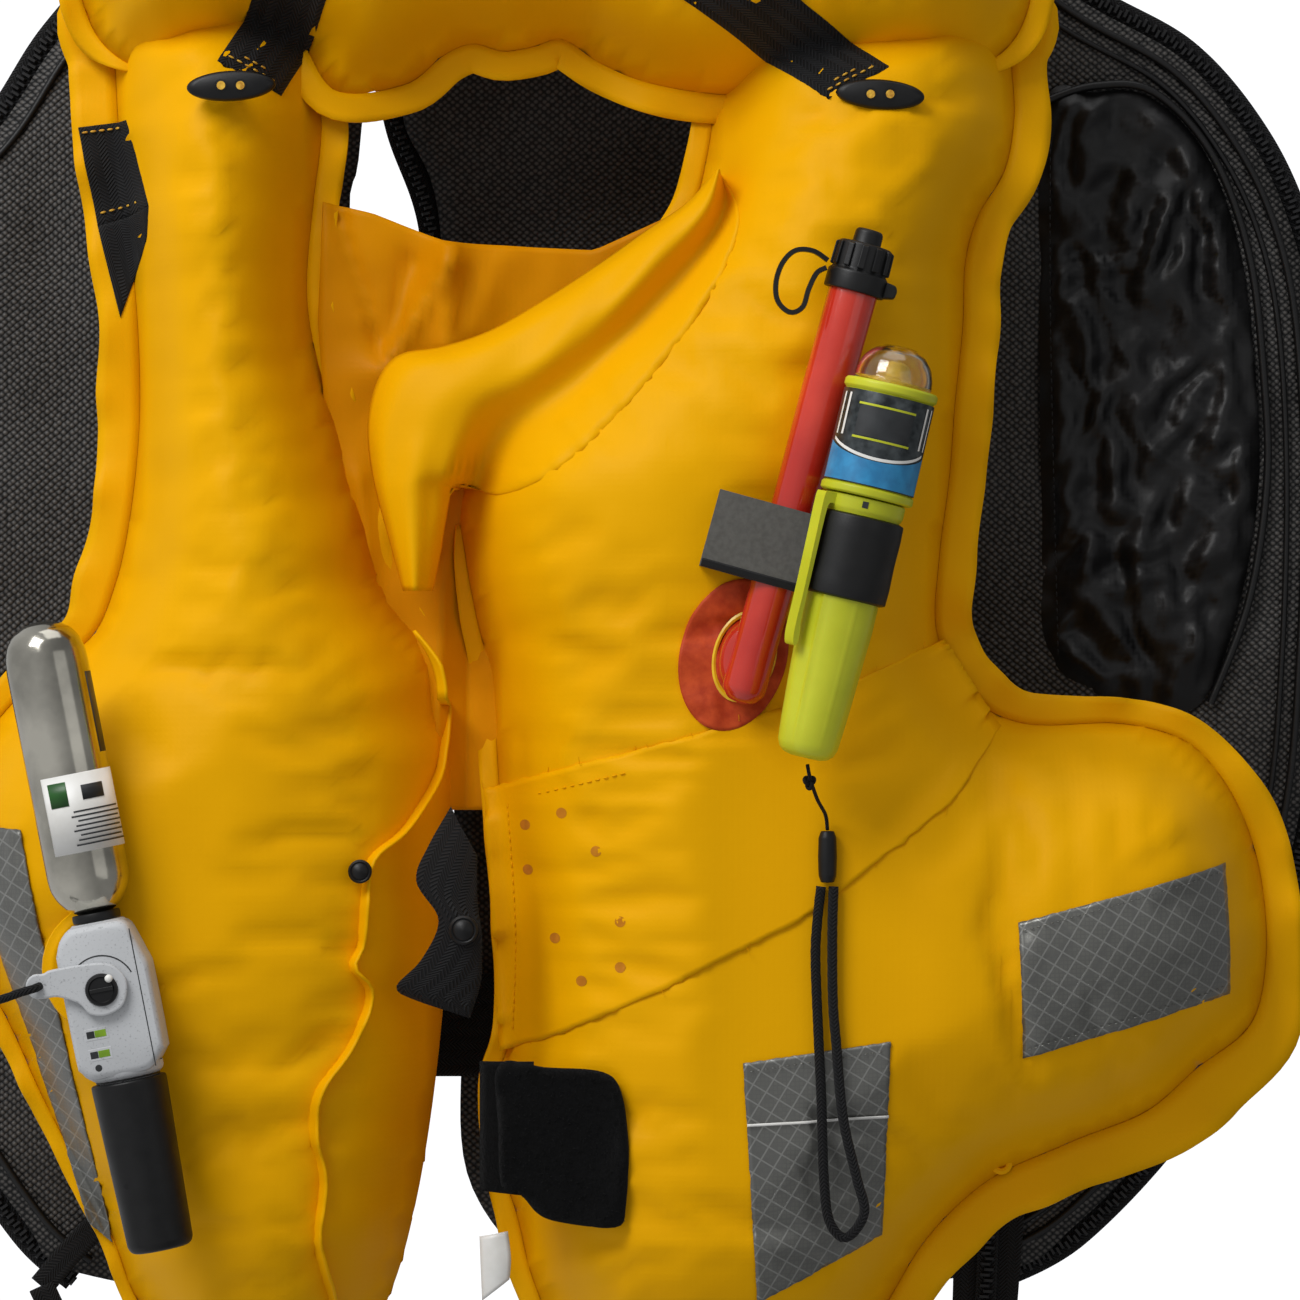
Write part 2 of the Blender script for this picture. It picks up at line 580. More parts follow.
def build_cords():
    bead = fitting("lanyard_bead_body", [(0.4, -9.5), (2.4, -9.5), (3.3, -7), (3.5, 0), (3.3, 7),
        (2.4, 9.5), (0.4, 9.5)], 0, (113.6, -158.6, -261.5), "black", "light", "black_plastic",
        ["lanyard_bead"])
    knot = knot_at("string_knot", (106.4, -180.6, -233.5), 2.0)
    build_cord("lanyard_string_line", [(105.6, -184, -227), (106.6, -182, -232), (109.5, -172, -240),
        (112.8, -161, -246), (113.6, -158.6, -251.6)], 0.7, "webbing", "light", ["lanyard_string"],
        stiffness="limp", lay="hanging", far_end="object", with_pieces=[knot])
    build_cord("lanyard_wrist_loop", [(111.3, -158.2, -272.5), (109.9, -158.5, -285),
        (109.2, -158.4, -300), (110.4, -158.4, -330), (111.4, -158.4, -352), (112.3, -158.5, -380),
        (114.3, -158.5, -396), (120.5, -158.5, -402.2), (127.2, -158.5, -393), (124.4, -158.5, -380),
        (119.4, -158.5, -358), (116.8, -158.4, -330), (115.6, -158.4, -314), (115.4, -158.5, -290),
        (115.9, -158.2, -272.5)], 1.9, "webbing", "light", ["lanyard_loop"], twist=1.0, stiffness="limp",
        lay="hanging", far_end="object", with_pieces=[bead])
    handle = fitting("pull_handle_grip", [(0.2, -16), (4.6, -15.6), (6.4, -13), (7, -10), (7, -3),
        (5.6, 4), (3.6, 12), (2.4, 13), (1.0, 13)], 0, (-211, -183, -440), "black", "pull_cord",
        "black_plastic", ["pull_handle"], 1.5)
    build_cord("pull_cord_line", [(-174.6, -185.5, -307.8), (-176.4, -190.4, -308.6), (-184, -191, -311),
        (-197, -189.5, -317), (-206, -187, -332), (-210, -185, -360), (-211, -183.5, -395),
        (-211, -183, -428)], 1.6, "webbing", "pull_cord", ["pull_cord"], twist=1.0, stiffness="limp",
        lay="hanging", far_end="fitting", with_pieces=[handle])


def knot_at(name, centre, radius):
    """A small overhand knot: one closed loop of cord that crosses itself."""
    line = []
    for i in range(72):
        a = 2 * math.pi * i / 72
        line.append((centre[0] + radius * (math.sin(a) + 2 * math.sin(2 * a)) * 0.33,
            centre[1] + radius * math.sin(3 * a) * 0.33, centre[2] + radius * (math.cos(a) - 2 * math.cos
            (2 * a)) * 0.40))
    points = []
    for i, p in enumerate(line):
        ahead = (Vector(line[(i + 1) % 72]) - Vector(line[i - 1])).normalized()
        side = ahead.cross(Vector((0, 1, 0))).normalized()
        up = side.cross(ahead)
        points += [Vector(p) + (side * math.cos(k * math.pi / 4) + up * math.sin(k * math.pi / 4)) * 0.75
            for k in range(8)]
    faces = grid_faces(72, 8, True) + [(71 * 8 + k, 71 * 8 + (k + 1) % 8, (k + 1) % 8, k) for k in range(8)]
    return piece(name, points, faces, "webbing", "light", "webbing")


# ---- bladder ----
# Seam outlines as across and up, each with the width of its welded edge there.
RIGHT_SEAM = [(84, 62, 0), (150, 66, 0), (186, 60, 14), (186, 40, 14), (187, 18, 14), (183, -3, 14),
    (173, -20, 13), (168, -38, 14), (167, -63, 14), (164, -92, 14), (162, -120, 14), (158, -150, 14),
    (157, -178, 14), (168, -201, 15), (190, -213, 12), (226, -213, 10), (250, -219, 10), (264, -232, 11),
    (275, -252, 13), (281, -275, 14), (282, -306, 15), (276, -328, 20), (256, -344, 22), (236, -361, 20),
    (206, -373, 18), (178, -386, 18), (154, -408, 18), (138, -434, 13), (122, -455, 10), (98, -468, 8),
    (44, -468, 8), (18, -454, 8), (4, -425, 8), (-2, -402, 8), (-8, -380, 7), (-10, -350, 7),
    (-5, -330, 7), (-5, -290, 7), (-9, -240, 7), (-12, -200, 7), (-18, -172, 6), (-22, -150, 4),
    (-24, -128, 0), (-16, -100, 0), (4, -78, 0), (26, -58, 3), (50, -36, 7), (64, -18, 8), (70, 4, 8),
    (74, 30, 6)]
LEFT_SEAM = [(-84, 62, 0), (-120, 66, 0), (-157, 60, 17), (-156, 38, 17), (-154, 10, 17), (-151, -21, 16),
    (-147, -55, 15), (-146, -88, 16), (-147, -112, 16), (-150, -138, 15), (-155, -160, 15),
    (-164, -180, 13), (-186, -197, 10), (-207, -222, 10), (-222, -256, 10), (-212, -295, 9),
    (-196, -326, 7), (-184, -352, 6), (-170, -380, 6), (-156, -408, 5), (-147, -432, 5), (-130, -456, 5),
    (-112, -470, 5), (-88, -470, 4), (-66, -456, 2), (-50, -428, 0), (-40, -391, 0), (-33, -345, 0),
    (-29, -300, 0), (-27, -255, 0), (-29, -216, 0), (-36, -186, 5), (-52, -163, 9), (-64, -121, 10),
    (-74, -91, 10), (-82, -54, 10), (-80, -16, 10), (-77, 14, 10), (-80, 40, 6)]
COLLAR_SEAM = [(-84, 45, 11), (-71, 27, 11), (-45, 30, 11), (-30, 41, 11), (-19, 45, 11), (-8, 42, 11),
    (4, 44, 11), (15, 47, 11), (29, 38, 11), (48, 30, 11), (74, 26, 11), (94, 27, 6), (120, 30, 0),
    (160, 32, 0), (186, 46, 8), (194, 76, 9), (184, 110, 9), (166, 132, 8), (130, 146, 8), (84, 152, 7),
    (30, 157, 7), (-30, 157, 7), (-84, 152, 7), (-118, 146, 8), (-148, 134, 8), (-164, 112, 8),
    (-170, 78, 8), (-162, 48, 8), (-140, 34, 0), (-112, 40, 0), (-96, 50, 5)]
# Soft creases in a lobe: from and to as across and up, width, and depth.
RIGHT_CREASES = [(176, -206, 214, -238, 6, 7), (168, -216, 196, -262, 7, 6), (190, -214, 250, -232, 6, 5),
    (160, -190, 128, -176, 9, 4), (172, -228, 182, -284, 6, 4), (216, -214, 262, -240, 5, 4),
    (150, 20, 196, 34, 8, 6), (120, 14, 168, 22, 9, 4), (-14, -176, 40, -190, 10, 4),
    (-18, -158, 30, -138, 12, 5), (-16, -132, 34, -86, 12, 5), (4, -88, 70, -40, 14, 4),
    (232, -352, 196, -330, 8, 4), (150, -408, 120, -380, 9, 4), (270, -330, 240, -318, 7, 4),
    (200, -376, 176, -352, 7, 3), (-6, -340, 22, -352, 8, 4), (176, -30, 150, -44, 9, 3),
    (74, 14, 92, 26, 8, 4)]
LEFT_CREASES = [(-160, -172, -128, -148, 9, 6), (-166, -186, -120, -190, 10, 6), (-174, -196, -136, -222,
    10, 4), (-152, -140, -132, -118, 8, 4), (-64, -96, -86, -112, 8, 4), (-56, -124, -84, -134, 8, 4),
    (-44, -156, -76, -160, 9, 5), (-150, 18, -126, 30, 8, 5), (-90, 22, -104, 30, 8, 4),
    (-38, -206, -62, -214, 9, 3), (-86, -44, -98, -52, 7, 3), (-70, -330, -96, -344, 9, 3),
    (-140, -408, -112, -396, 9, 4)]
COLLAR_CREASES = [(-80, 40, -92, 66, 7, 5), (-60, 30, -66, 52, 7, 5), (-34, 42, -38, 60, 6, 4),
    (0, 46, 2, 62, 6, 4), (22, 44, 30, 64, 6, 5), (52, 32, 60, 50, 6, 4), (82, 28, 96, 52, 7, 5),
    (150, 36, 170, 58, 9, 5), (-150, 38, -128, 60, 9, 5)]
SKIN = {}  # search trees of the finished bladder skins


def nearest_on(line, points):
    """Distance, nearest point and distance along the ring, for each point."""
    a, b = line, np.roll(line, -1, axis=0)
    along = np.concatenate([[0], np.cumsum(np.linalg.norm(b - a, axis=1))])
    best = np.full(len(points), 1e9)
    spot, mark = np.zeros((len(points), 2)), np.zeros(len(points))
    for i in range(len(a)):
        d = b[i] - a[i]
        t = np.clip(((points - a[i]) @ d) / max(d @ d, 1e-9), 0, 1)
        q = a[i] + t[:, None] * d
        gap = np.linalg.norm(points - q, axis=1)
        closer = gap < best
        best[closer], spot[closer] = gap[closer], q[closer]
        mark[closer] = along[i] + t[closer] * np.linalg.norm(d)
    return best, spot, mark


def inside(line, points):
    hit = np.zeros(len(points), bool)
    for (x0, z0), (x1, z1) in zip(line, np.roll(line, -1, axis=0)):
        if z0 == z1:
            continue
        level = (x1 - x0) * (points[:, 1] - z0) / (z1 - z0) + x0
        hit ^= ((points[:, 1] < z0) != (points[:, 1] < z1)) & (points[:, 0] < level)
    return hit


def crease_depth(creases, points):
    """How far the creases press the skin in."""
    total = np.zeros(len(points))
    for x0, z0, x1, z1, width, depth in creases:
        a, d = np.array([x0, z0], float), np.array([x1 - x0, z1 - z0], float)
        t = (points - a) @ d / (d @ d)
        off = np.linalg.norm(points - a - np.clip(t, 0, 1)[:, None] * d, axis=1)
        fade = np.sin(np.clip(0.12 + 0.88 * t, 0, 1) * math.pi) ** 0.6
        total += depth * np.nan_to_num(fade) * (np.exp(-off / width) - 0.45 * np.exp(-off / (2.6 * width)))
    return total


def seam_wave(mark, seed):
    s = sizes()
    return np.array([s.ruffle / MM * wobble(m / 34, 0.3, seed=seed) * 2.2 for m in mark])


def panel_grid(outline, cell):
    """Quads filling an outline, with the border points moved onto it."""
    low, high = outline.min(0) - cell, outline.max(0) + cell
    xs, zs = np.arange(low[0], high[0], cell), np.arange(low[1], high[1], cell)
    flat = np.array([(x, z) for z in zs for x in xs])
    gap, spot, mark = nearest_on(outline, flat)
    depth = np.where(inside(outline, flat), gap, -gap)
    keep = depth > -0.3 * cell
    faces = [f for f in grid_faces(len(zs), len(xs)) if keep[list(f)].all()]
    count = np.zeros(len(flat), int)
    for f in faces:
        count[list(f)] += 1
    used = np.where(count > 0)[0]
    edge = (count > 0) & (count < 4)
    flat[edge], depth[edge] = spot[edge], 0.0
    index = {int(v): i for i, v in enumerate(used)}
    faces = [tuple(index[v] for v in f) for f in faces]
    return flat[used], np.maximum(depth[used], 0), mark[used], edge[used], faces


def relax(values, faces, fixed, rounds):
    """Evens a value over neighbouring points."""
    links = np.array([(f[k], f[(k + 1) % 4]) for f in faces for k in range(4)])
    links = np.vstack([links, links[:, ::-1]])
    degree = np.bincount(links[:, 0], minlength=len(values)).astype(float)
    for _ in range(rounds):
        mean = np.bincount(links[:, 0], weights=values[links[:, 1]],
            minlength=len(values)) / np.maximum(degree, 1)
        values = np.where(fixed, values, 0.4 * values + 0.6 * mean)
    return values


def build_lobe(name, seam, creases, slot, nodes, seed, depth_at):
    """A lobe is two cloth panels welded round their edge and blown up."""
    s = sizes()
    outline = curve_through(seam, 3.0, closed=True)
    ring, widths = outline[:, :2], outline[:, 2]
    cell = s.cloth_cell / MM
    flat, depth, mark, edge, faces = panel_grid(ring, cell)
    roll = s.roll / MM
    share = np.clip(depth / roll, 0, 1)
    crown = (1 - (1 - share) ** 2.15) ** (1 / 2.15)
    crown = relax(crown, faces, edge, 26)
    puckers = np.array([wobble(m / 13, d / 60, seed=seed) + 0.6 * wobble(m / 6.5, d / 30, seed=seed + 9)
        for m, d in zip(mark, depth)])
    puckers *= s.pucker / MM * np.clip(depth / 9, 0, 1) * np.exp(-depth / 30)
    drift = np.array([wobble(x / 60, z / 75, seed=seed + 4) for x, z in flat]) * 2.2
    drift *= np.clip(depth / 30, 0, 1)
    dent = crease_depth(creases, flat) * np.clip(depth / 10, 0, 1)
    lean = seam_wave(mark, seed) * np.exp(-depth / 12)
    middle, strength = depth_at(flat[:, 0], flat[:, 1])
    front = middle + lean - s.lobe_front / MM * crown * strength - puckers - drift + dent
    back = middle + lean + s.lobe_back / MM * crown * strength + 0.7 * puckers[::-1] * (depth > 0)
    n = len(flat)
    other = {}
    points = [(x, y, z) for (x, z), y in zip(flat, front)]
    for i in range(n):
        if edge[i]:
            other[i] = i
        else:
            other[i] = len(points)
            points.append((flat[i, 0], back[i], flat[i, 1]))
    quads = list(faces) + [tuple(other[i] for i in reversed(f)) for f in faces]
    obj = piece(name, points, quads, "bladder", "jacket", slot, nodes)
    blow_up(obj)
    press_back(obj, *LOOP_RUB)
    obj.data.shade_smooth()
    remember(obj)
    build_edge(name.replace("skin", "welded_edge"), ring, widths, seed, depth_at)
    return obj


def press_back(obj, x, z, limit):
    """The light's wrist loop rubs a shallow flat into the skin round this place."""
    for vertex in obj.data.vertices:
        at = vertex.co / MM
        if at.y < limit:
            share = math.exp(-(((at.x - x) / 42) ** 6) - ((at.z - z) / 105) ** 6)
            vertex.co.y = (at.y + (limit - at.y) * share) * MM


def blow_up(obj):
    """A short cloth run under pressure, which works the puckers into the welded seam."""
    before = np.array([v.co for v in obj.data.vertices])
    group = obj.vertex_groups.new(name="seam")
    y = before[:, 1]
    work = bmesh.new()
    work.from_mesh(obj.data)
    work.verts.ensure_lookup_table()
    near = [v.index for v in work.verts if any(abs(y[e.other_vert(v).index] - y[v.index]) > 0.004
        for e in v.link_edges)]
    work.free()
    group.add([int(i) for i in near], 1.0, "ADD")
    cloth = obj.modifiers.new("Cloth", "CLOTH")
    st = cloth.settings
    st.quality, st.mass, st.tension_stiffness, st.bending_stiffness = 5, 0.25, 25, 0.6
    st.use_pressure, st.uniform_pressure_force = True, 4.0
    st.vertex_group_mass, st.pin_stiffness = "seam", 1.0
    st.shrink_min = -0.035
    st.effector_weights.gravity = 0.0
    cloth.collision_settings.use_collision = False
    cloth.point_cache.frame_start, cloth.point_cache.frame_end = 1, 20
    scene = bpy.context.scene
    for frame_number in range(1, 16):
        scene.frame_set(frame_number)
    graph = bpy.context.evaluated_depsgraph_get()
    moved = obj.evaluated_get(graph)
    after = np.array([v.co for v in moved.data.vertices])
    obj.modifiers.remove(cloth)
    obj.vertex_groups.remove(group)
    scene.frame_set(1)
    if len(after) != len(before) or not np.isfinite(after).all():
        raise RuntimeError(f"the cloth run on {obj.name} failed")
    step = after - before
    length = np.linalg.norm(step, axis=1)
    cap = 0.0075
    step *= np.minimum(1, cap / np.maximum(length, 1e-9))[:, None]
    obj.data.vertices.foreach_set("co", (before + step).astype(np.float32).ravel())
    obj.data.update()


def remember(obj):
    mesh = obj.data
    SKIN[obj.name] = BVHTree.FromPolygons([v.co / MM for v in mesh.vertices], [p.vertices[:]
        for p in mesh.polygons])


def skin_y(x, z, names=None, default=NO_SKIN_Y):
    """Front of the bladder at a place, and how it faces."""
    best, facing = None, Vector((0, -1, 0))
    for name, tree in SKIN.items():
        if names and name not in names:
            continue
        hit = tree.ray_cast(Vector((x, -400, z)), Vector((0, 1, 0)))
        if hit[0] is not None and (best is None or hit[0].y < best):
            best, facing = hit[0].y, hit[1]
    return (default if best is None else best), facing


def build_edge(name, ring, widths, seed, depth_at):
    """The welded edge outside a seam: flat tape of both panels, ruffled."""
    n = len(ring)
    ahead = np.roll(ring, -1, axis=0) - np.roll(ring, 1, axis=0)
    length = np.maximum(np.linalg.norm(ahead, axis=1), 1e-6)
    out = np.stack([-ahead[:, 1], ahead[:, 0]], 1) / length[:, None]
    if inside(ring, ring + out * 2).mean() > 0.5:
        out = -out
    along = np.concatenate([[0], np.cumsum(np.linalg.norm(np.diff(ring, axis=0), axis=1))])
    wave = seam_wave(along, seed)
    middle, _ = depth_at(ring[:, 0], ring[:, 1])
    points, columns = [], 5
    for i in range(n):
        width = max(widths[i], 0) * (1 + 0.10 * wobble(along[i] / 24, seed=seed + 3))
        curl = sizes().ruffle / MM * 1.3 * wobble(along[i] / 16, seed=seed + 5)
        for k in range(columns):
            t = k / (columns - 1)
            ridge = 0.5 * math.sin(t * math.pi * 3) * (0.2 < t < 0.9)
            points.append((ring[i, 0] + out[i, 0] * width * t, middle[i] + wave[i] + curl * t * t * 1.6
                + ridge * 0.5, ring[i, 1] + out[i, 1] * width * t))
    faces = []
    for i in range(n):
        j = (i + 1) % n
        if widths[i] > 1 and widths[j] > 1:
            faces += [(i * columns + k, j * columns + k, j * columns + k + 1, i * columns + k + 1)
                for k in range(columns - 1)]
    return thicken(piece(name, points, faces, "bladder", "jacket", "bladder_cloth"), 0.9)


def leg_depth(x, z):
    """Legs lean back under the collar at their tops, and thin out at their feet."""
    top = np.clip((z + 26) / 80, 0, 1)
    foot = np.clip((-z - 405) / 70, 0, 1)
    return SEAM_Y + 10 * top, 1 - 0.24 * top - 0.30 * foot


def collar_depth(x, z):
    side = np.clip((np.abs(x - 10) - 120) / 80, 0, 1)
    return SEAM_Y + 0 * x, 0.97 - 0.22 * side


def build_bladder():
    build_lobe("right_lobe_skin", RIGHT_SEAM, RIGHT_CREASES, "bladder_cloth", ["bladder_right"], 1.7,
        leg_depth)
    build_lobe("left_lobe_skin", LEFT_SEAM, LEFT_CREASES, "bladder_cloth", ["bladder_left"], 5.2,
        leg_depth)
    build_lobe("collar_skin", COLLAR_SEAM, COLLAR_CREASES, "bladder_cloth", ["bladder_collar"], 8.9,
        collar_depth)
    build_fin()
    build_bridge()
    for name in ("right_lobe_welded_edge", "left_lobe_welded_edge", "collar_welded_edge",
            "bridge_panel_cloth"):
        remember_flat(name)


def build_fin():
    """The left lobe's inner weld, which stands up from its front."""
    line = curve_through([(-40, -178), (-33, -190), (-31, -204), (-33, -230), (-45, -252), (-57, -263),
        (-60, -280), (-61, -295), (-64, -303), (-58, -313), (-65, -333), (-76, -348), (-79, -363),
        (-75, -382), (-77, -405), (-73, -426), (-68, -446)], 3.0)
    points, columns = [], 5
    for i, (x, z) in enumerate(line):
        root, _ = skin_y(x, z, ["left_lobe_skin"])
        taper = min(1, (i + 1) / 6, (len(line) - i) / 5)
        lean = 0.5 + 0.2 * wobble(i * 3 / 30, seed=21)
        high = (7.0 + 0.9 * wobble(i * 3 / 18, seed=22)) * taper
        for k in range(columns):
            t = k / (columns - 1)
            points.append((x + lean * high * t + 0.4 * wobble(i * 3 / 9, t, seed=23),
                root + 1.5 - high * t * 0.85, z))
    thicken(piece("left_lobe_front_weld", points, grid_faces(len(line), columns), "bladder", "jacket",
        "bladder_cloth"), 1.1)


def near_line(x, z, x0, z0, x1, z1):
    """Distance from a line piece, and the share along it."""
    a, d = np.array([x0, z0], float), np.array([x1 - x0, z1 - z0], float)
    u = min(max(float((np.array([x, z]) - a) @ d / (d @ d)), 0), 1)
    return float(np.linalg.norm(np.array([x, z]) - a - u * d)), u


def evenly(line, count):
    t = np.linspace(0, 1, len(line))
    return np.stack([np.interp(np.linspace(0, 1, count), t, line[:, k]) for k in range(line.shape[1])], 1)


def build_bridge():
    """The slack cloth between the lobes: a shaded fold behind, and one swept over to a point."""
    rows, columns = 96, 46
    points = []
    folds = [  # from and to as across and up, height, width
        (-53, -78, -27, -38, 11, 8), (-27, -31, -29, -70, 7, 5), (-71, -17, -53, -76, -7, 4),
        (-42, -38, -50, -66, -8, 6),
        (-66, -26, -60, -60, 4, 6), (-8, -36, -24, -72, 3, 9), (-62, -120, -50, -240, 5, 8),
        (-30, -150, -34, -244, 6, 7),
        (-20, -150, -22, -244, -4, 6),
    ]
    for r in range(rows):
        v = r / (rows - 1)
        z_mid = -14 - 232 * v
        x0 = np.interp(-z_mid, [14, 60, 110, 246], [-76, -78, -74, -58])
        x1 = np.interp(-z_mid, [14, 50, 90, 120, 160, 246], [72, 58, 30, 8, -4, -8])
        for c in range(columns):
            x = x0 + (x1 - x0) * c / (columns - 1)
            top = np.interp(x, [-76, -57, -28, 27, 64, 72], [-15, -19.5, -31, -33.5, -16.5, -12])
            z = top * (1 - v) - 246 * v
            rise = 0.0
            for fx0, fz0, fx1, fz1, high, wide in folds:
                off, _ = near_line(x, z, fx0, fz0, fx1, fz1)
                rise += high * math.exp(-off / wide)
            slope = 4 * min(max((-z - 80) / 60, 0), 1)
            points.append((x, -91 - rise + slope - 1.2 * wobble(x / 12, z / 20, seed=31), z))
    back = thicken(piece("bridge_back_cloth", points, grid_faces(rows, columns), "bridge", "jacket",
        "bladder_cloth"), 0.8)

    rows, columns = 90, 44
    left = evenly(curve_through([(73, -5), (62, -17), (46, -28), (29, -40), (9, -53), (-12, -65),
        (-30, -71), (-46, -74), (-54, -83), (-58, -100), (-56, -120), (-50, -143), (-44.5, -163)], 2), rows)
    right = evenly(curve_through([(75, -6), (82, -24), (73, -50), (54, -78), (31, -104), (10, -121),
        (-7, -127), (-18, -124), (-26, -125), (-29, -137), (-31, -149), (-34, -163)], 2), rows)
    ridges = [(-8, -120, 52, -34, 3.6, 5), (-14, -112, 24, -56, 3.2, 5), (0, -122, 62, -50, 2.6, 6),
        (-34, -96, -12, -76, 2.4, 8), (-38, -110, -39, -160, 2.6, 5), (-22, -112, -30, -140, 3.0, 4)]
    depth = np.zeros((rows, columns))
    lobe = np.full((rows, columns), np.nan)
    place = np.zeros((rows, columns, 2))
    for r in range(rows):
        for c in range(columns):
            t = c / (columns - 1)
            x, z = place[r, c] = left[r] * (1 - t) + right[r] * t
            lobe[r, c], _ = skin_y(x, z, ["right_lobe_skin"], default=np.nan)
            own = -121 + 13 * max(0, 1 - t / 0.14) ** 2 - 7 * math.exp(-((t - 0.45) / 0.3) ** 2)
            if z < -122:
                own += 9 * max(0, (t - 0.8) / 0.2) ** 2
            for x0, z0, x1, z1, high, wide in ridges:
                off, _ = near_line(x, z, x0, z0, x1, z1)
                own -= high * math.exp(-((off / wide) ** 2))
            pinch = math.dist((x, z), (-8, -122))
            own -= 1.6 * math.exp(-pinch / 9) * math.sin(7 * math.atan2(z + 122, x + 8))
            blend = min(max((t - 0.4) / 0.45, 0), 1)
            blend = blend * blend * (3 - 2 * blend)
            depth[r, c] = own if np.isnan(lobe[r, c]) else own * (1 - blend) + (lobe[r, c] - 1.2) * blend
    for _ in range(6):
        depth[1:-1, 1:-1] = (depth[:-2, 1:-1] + depth[2:, 1:-1] + depth[1:-1, :-2] + depth[1:-1, 2:]) / 4
    front = np.where(np.isnan(lobe), depth, np.minimum(depth, lobe - 0.8))
    for r in range(rows):
        if not np.isnan(lobe[r, -1]):  # the weld to the lobe: the edge dips into its skin
            front[r, -1], front[r, -2] = lobe[r, -1] + 1.0, lobe[r, -2] - 0.2
    points = [(place[r, c, 0], front[r, c], place[r, c, 1]) for r in range(rows) for c in range(columns)]
    obj = piece("bridge_panel_cloth", points, grid_faces(rows, columns), "bladder", "jacket",
        "bladder_cloth", ["bladder_bridge"])
    thicken(obj, 0.8)


# ---- cloth pieces lying on the bladder ----
def fill_gaps(values):
    """Missing numbers of a grid taken from the nearest one in the row."""
    out = np.array(values, float)
    for row in out:
        known = np.where(~np.isnan(row))[0]
        row[:] = np.interp(np.arange(len(row)), known, row[known]) if len(known) else NO_SKIN_Y
    return out


def lay_on(name, place, rows, columns, gap, finish, slot, nodes, thickness, names=None, ragged=0.0,
        wrap=False, stiff=2, run=None):
    """A cloth patch pressed on the bladder. place gives across and up from two shares."""
    across = np.array([[place(c / (columns if wrap else columns - 1), r / (rows - 1))
        for c in range(columns)] for r in range(rows)], float)
    depth = np.full((rows, columns), np.nan)
    for r in range(rows):
        for c in range(columns):
            edge = r in (0, rows - 1) or (c in (0, columns - 1) and not wrap)
            if ragged and edge:
                across[r, c] += ragged * np.array([wobble(r * 1.9, c * 2.3, seed=3),
                    wobble(r * 2.1, c * 1.7, seed=6)])
            y, _ = skin_y(*across[r, c], names, default=np.nan)
            depth[r, c] = y
    depth = fill_gaps(depth)
    for _ in range(stiff):  # the cloth bridges the smallest dips
        even = depth.copy()
        even[1:-1, 1:-1] = (depth[:-2, 1:-1] + depth[2:, 1:-1] + depth[1:-1, :-2] + depth[1:-1, 2:]) / 4
        depth = np.minimum(depth, even + 0.2)
    points = [(across[r, c, 0], depth[r, c] - gap, across[r, c, 1]) for r in range(rows)
        for c in range(columns)]
    return thicken(piece(name, points, grid_faces(rows, columns, wrap), finish, "jacket", slot, nodes,
        run=run), thickness, -1.0)


def four_corners(corners):
    """Place on a four-cornered patch whose corners run round its edge."""
    a, b, c, d = (np.array(p, float) for p in corners)

    def place(u, v):
        return (a * (1 - u) + b * u) * (1 - v) + (d * (1 - u) + c * u) * v

    return place


def webbing_run(corners, rows, columns):
    """Across and along distances of a strap in metres, for its weave."""
    a, b, c, d = (np.array(p, float) for p in corners)
    wide, long = np.linalg.norm(b - a), np.linalg.norm(d - a)
    return [(c2 / (columns - 1) * wide * MM, r / (rows - 1) * long * MM) for r in range(rows)
        for c2 in range(columns)]


def ribbon(name, rows, columns, thickness, finish, body, slot, nodes=(), step=3.0, crown=0.0):
    """A strap from its rows of left and right points."""
    left = curve_through([r[0] for r in rows], step)
    right = curve_through([r[1] for r in rows], step)
    n = max(len(left), len(right))
    fit = lambda line: np.stack([np.interp(np.linspace(0, 1, n), np.linspace(0, 1, len(line)), line[:, k])
        for k in range(3)], 1)
    left, right = fit(left), fit(right)
    along = np.concatenate([[0], np.cumsum(np.linalg.norm(np.diff((left + right) / 2, axis=0), axis=1))])
    points, run = [], []
    for i in range(n):
        wide = np.linalg.norm(right[i] - left[i])
        for c in range(columns):
            t = c / (columns - 1)
            p = left[i] * (1 - t) + right[i] * t
            p[1] -= crown * math.sin(math.pi * t)
            points.append(tuple(p))
            run.append((t * wide * MM, along[i] * MM))
    return thicken(piece(name, points, grid_faces(n, columns), finish, body, slot, nodes, run=run),
        thickness)


def stitches(name, lines, finish="thread", pitch=3.4, long=2.3, thick=0.42, lift=0.6):
    """Rows of thread, each stitch a short bowed bead. Lines hold points across and up, or in space."""
    parts = []
    for line in lines:
        run = curve_through(line, pitch)
        for a, b in zip(run, run[1:]):
            if len(a) == 2:
                a = np.array([a[0], skin_y(*a)[0], a[1]])
                b = np.array([b[0], skin_y(*b)[0], b[1]])
            ahead = Vector(b - a).normalized()
            side = ahead.cross(Vector((0, 1, 0))).normalized()
            points = []
            for t, fat in ((0, 0.35), (0.25, 1), (0.75, 1), (1, 0.35)):
                mid = Vector(a) + ahead * long * t - Vector((0, lift + 0.25 * math.sin(math.pi * t), 0))
                for s in range(6):
                    ang = math.pi * s / 3
                    points.append(mid + (side * math.cos(ang) - Vector((0, math.sin(ang), 0))) * thick
                        * fat)
            parts.append((points, grid_faces(4, 6, True) + [tuple(range(6)), (23, 22, 21, 20, 19, 18)]))
    points, faces = merge(parts)
    return piece(name, points, faces, finish, "jacket", "webbing")


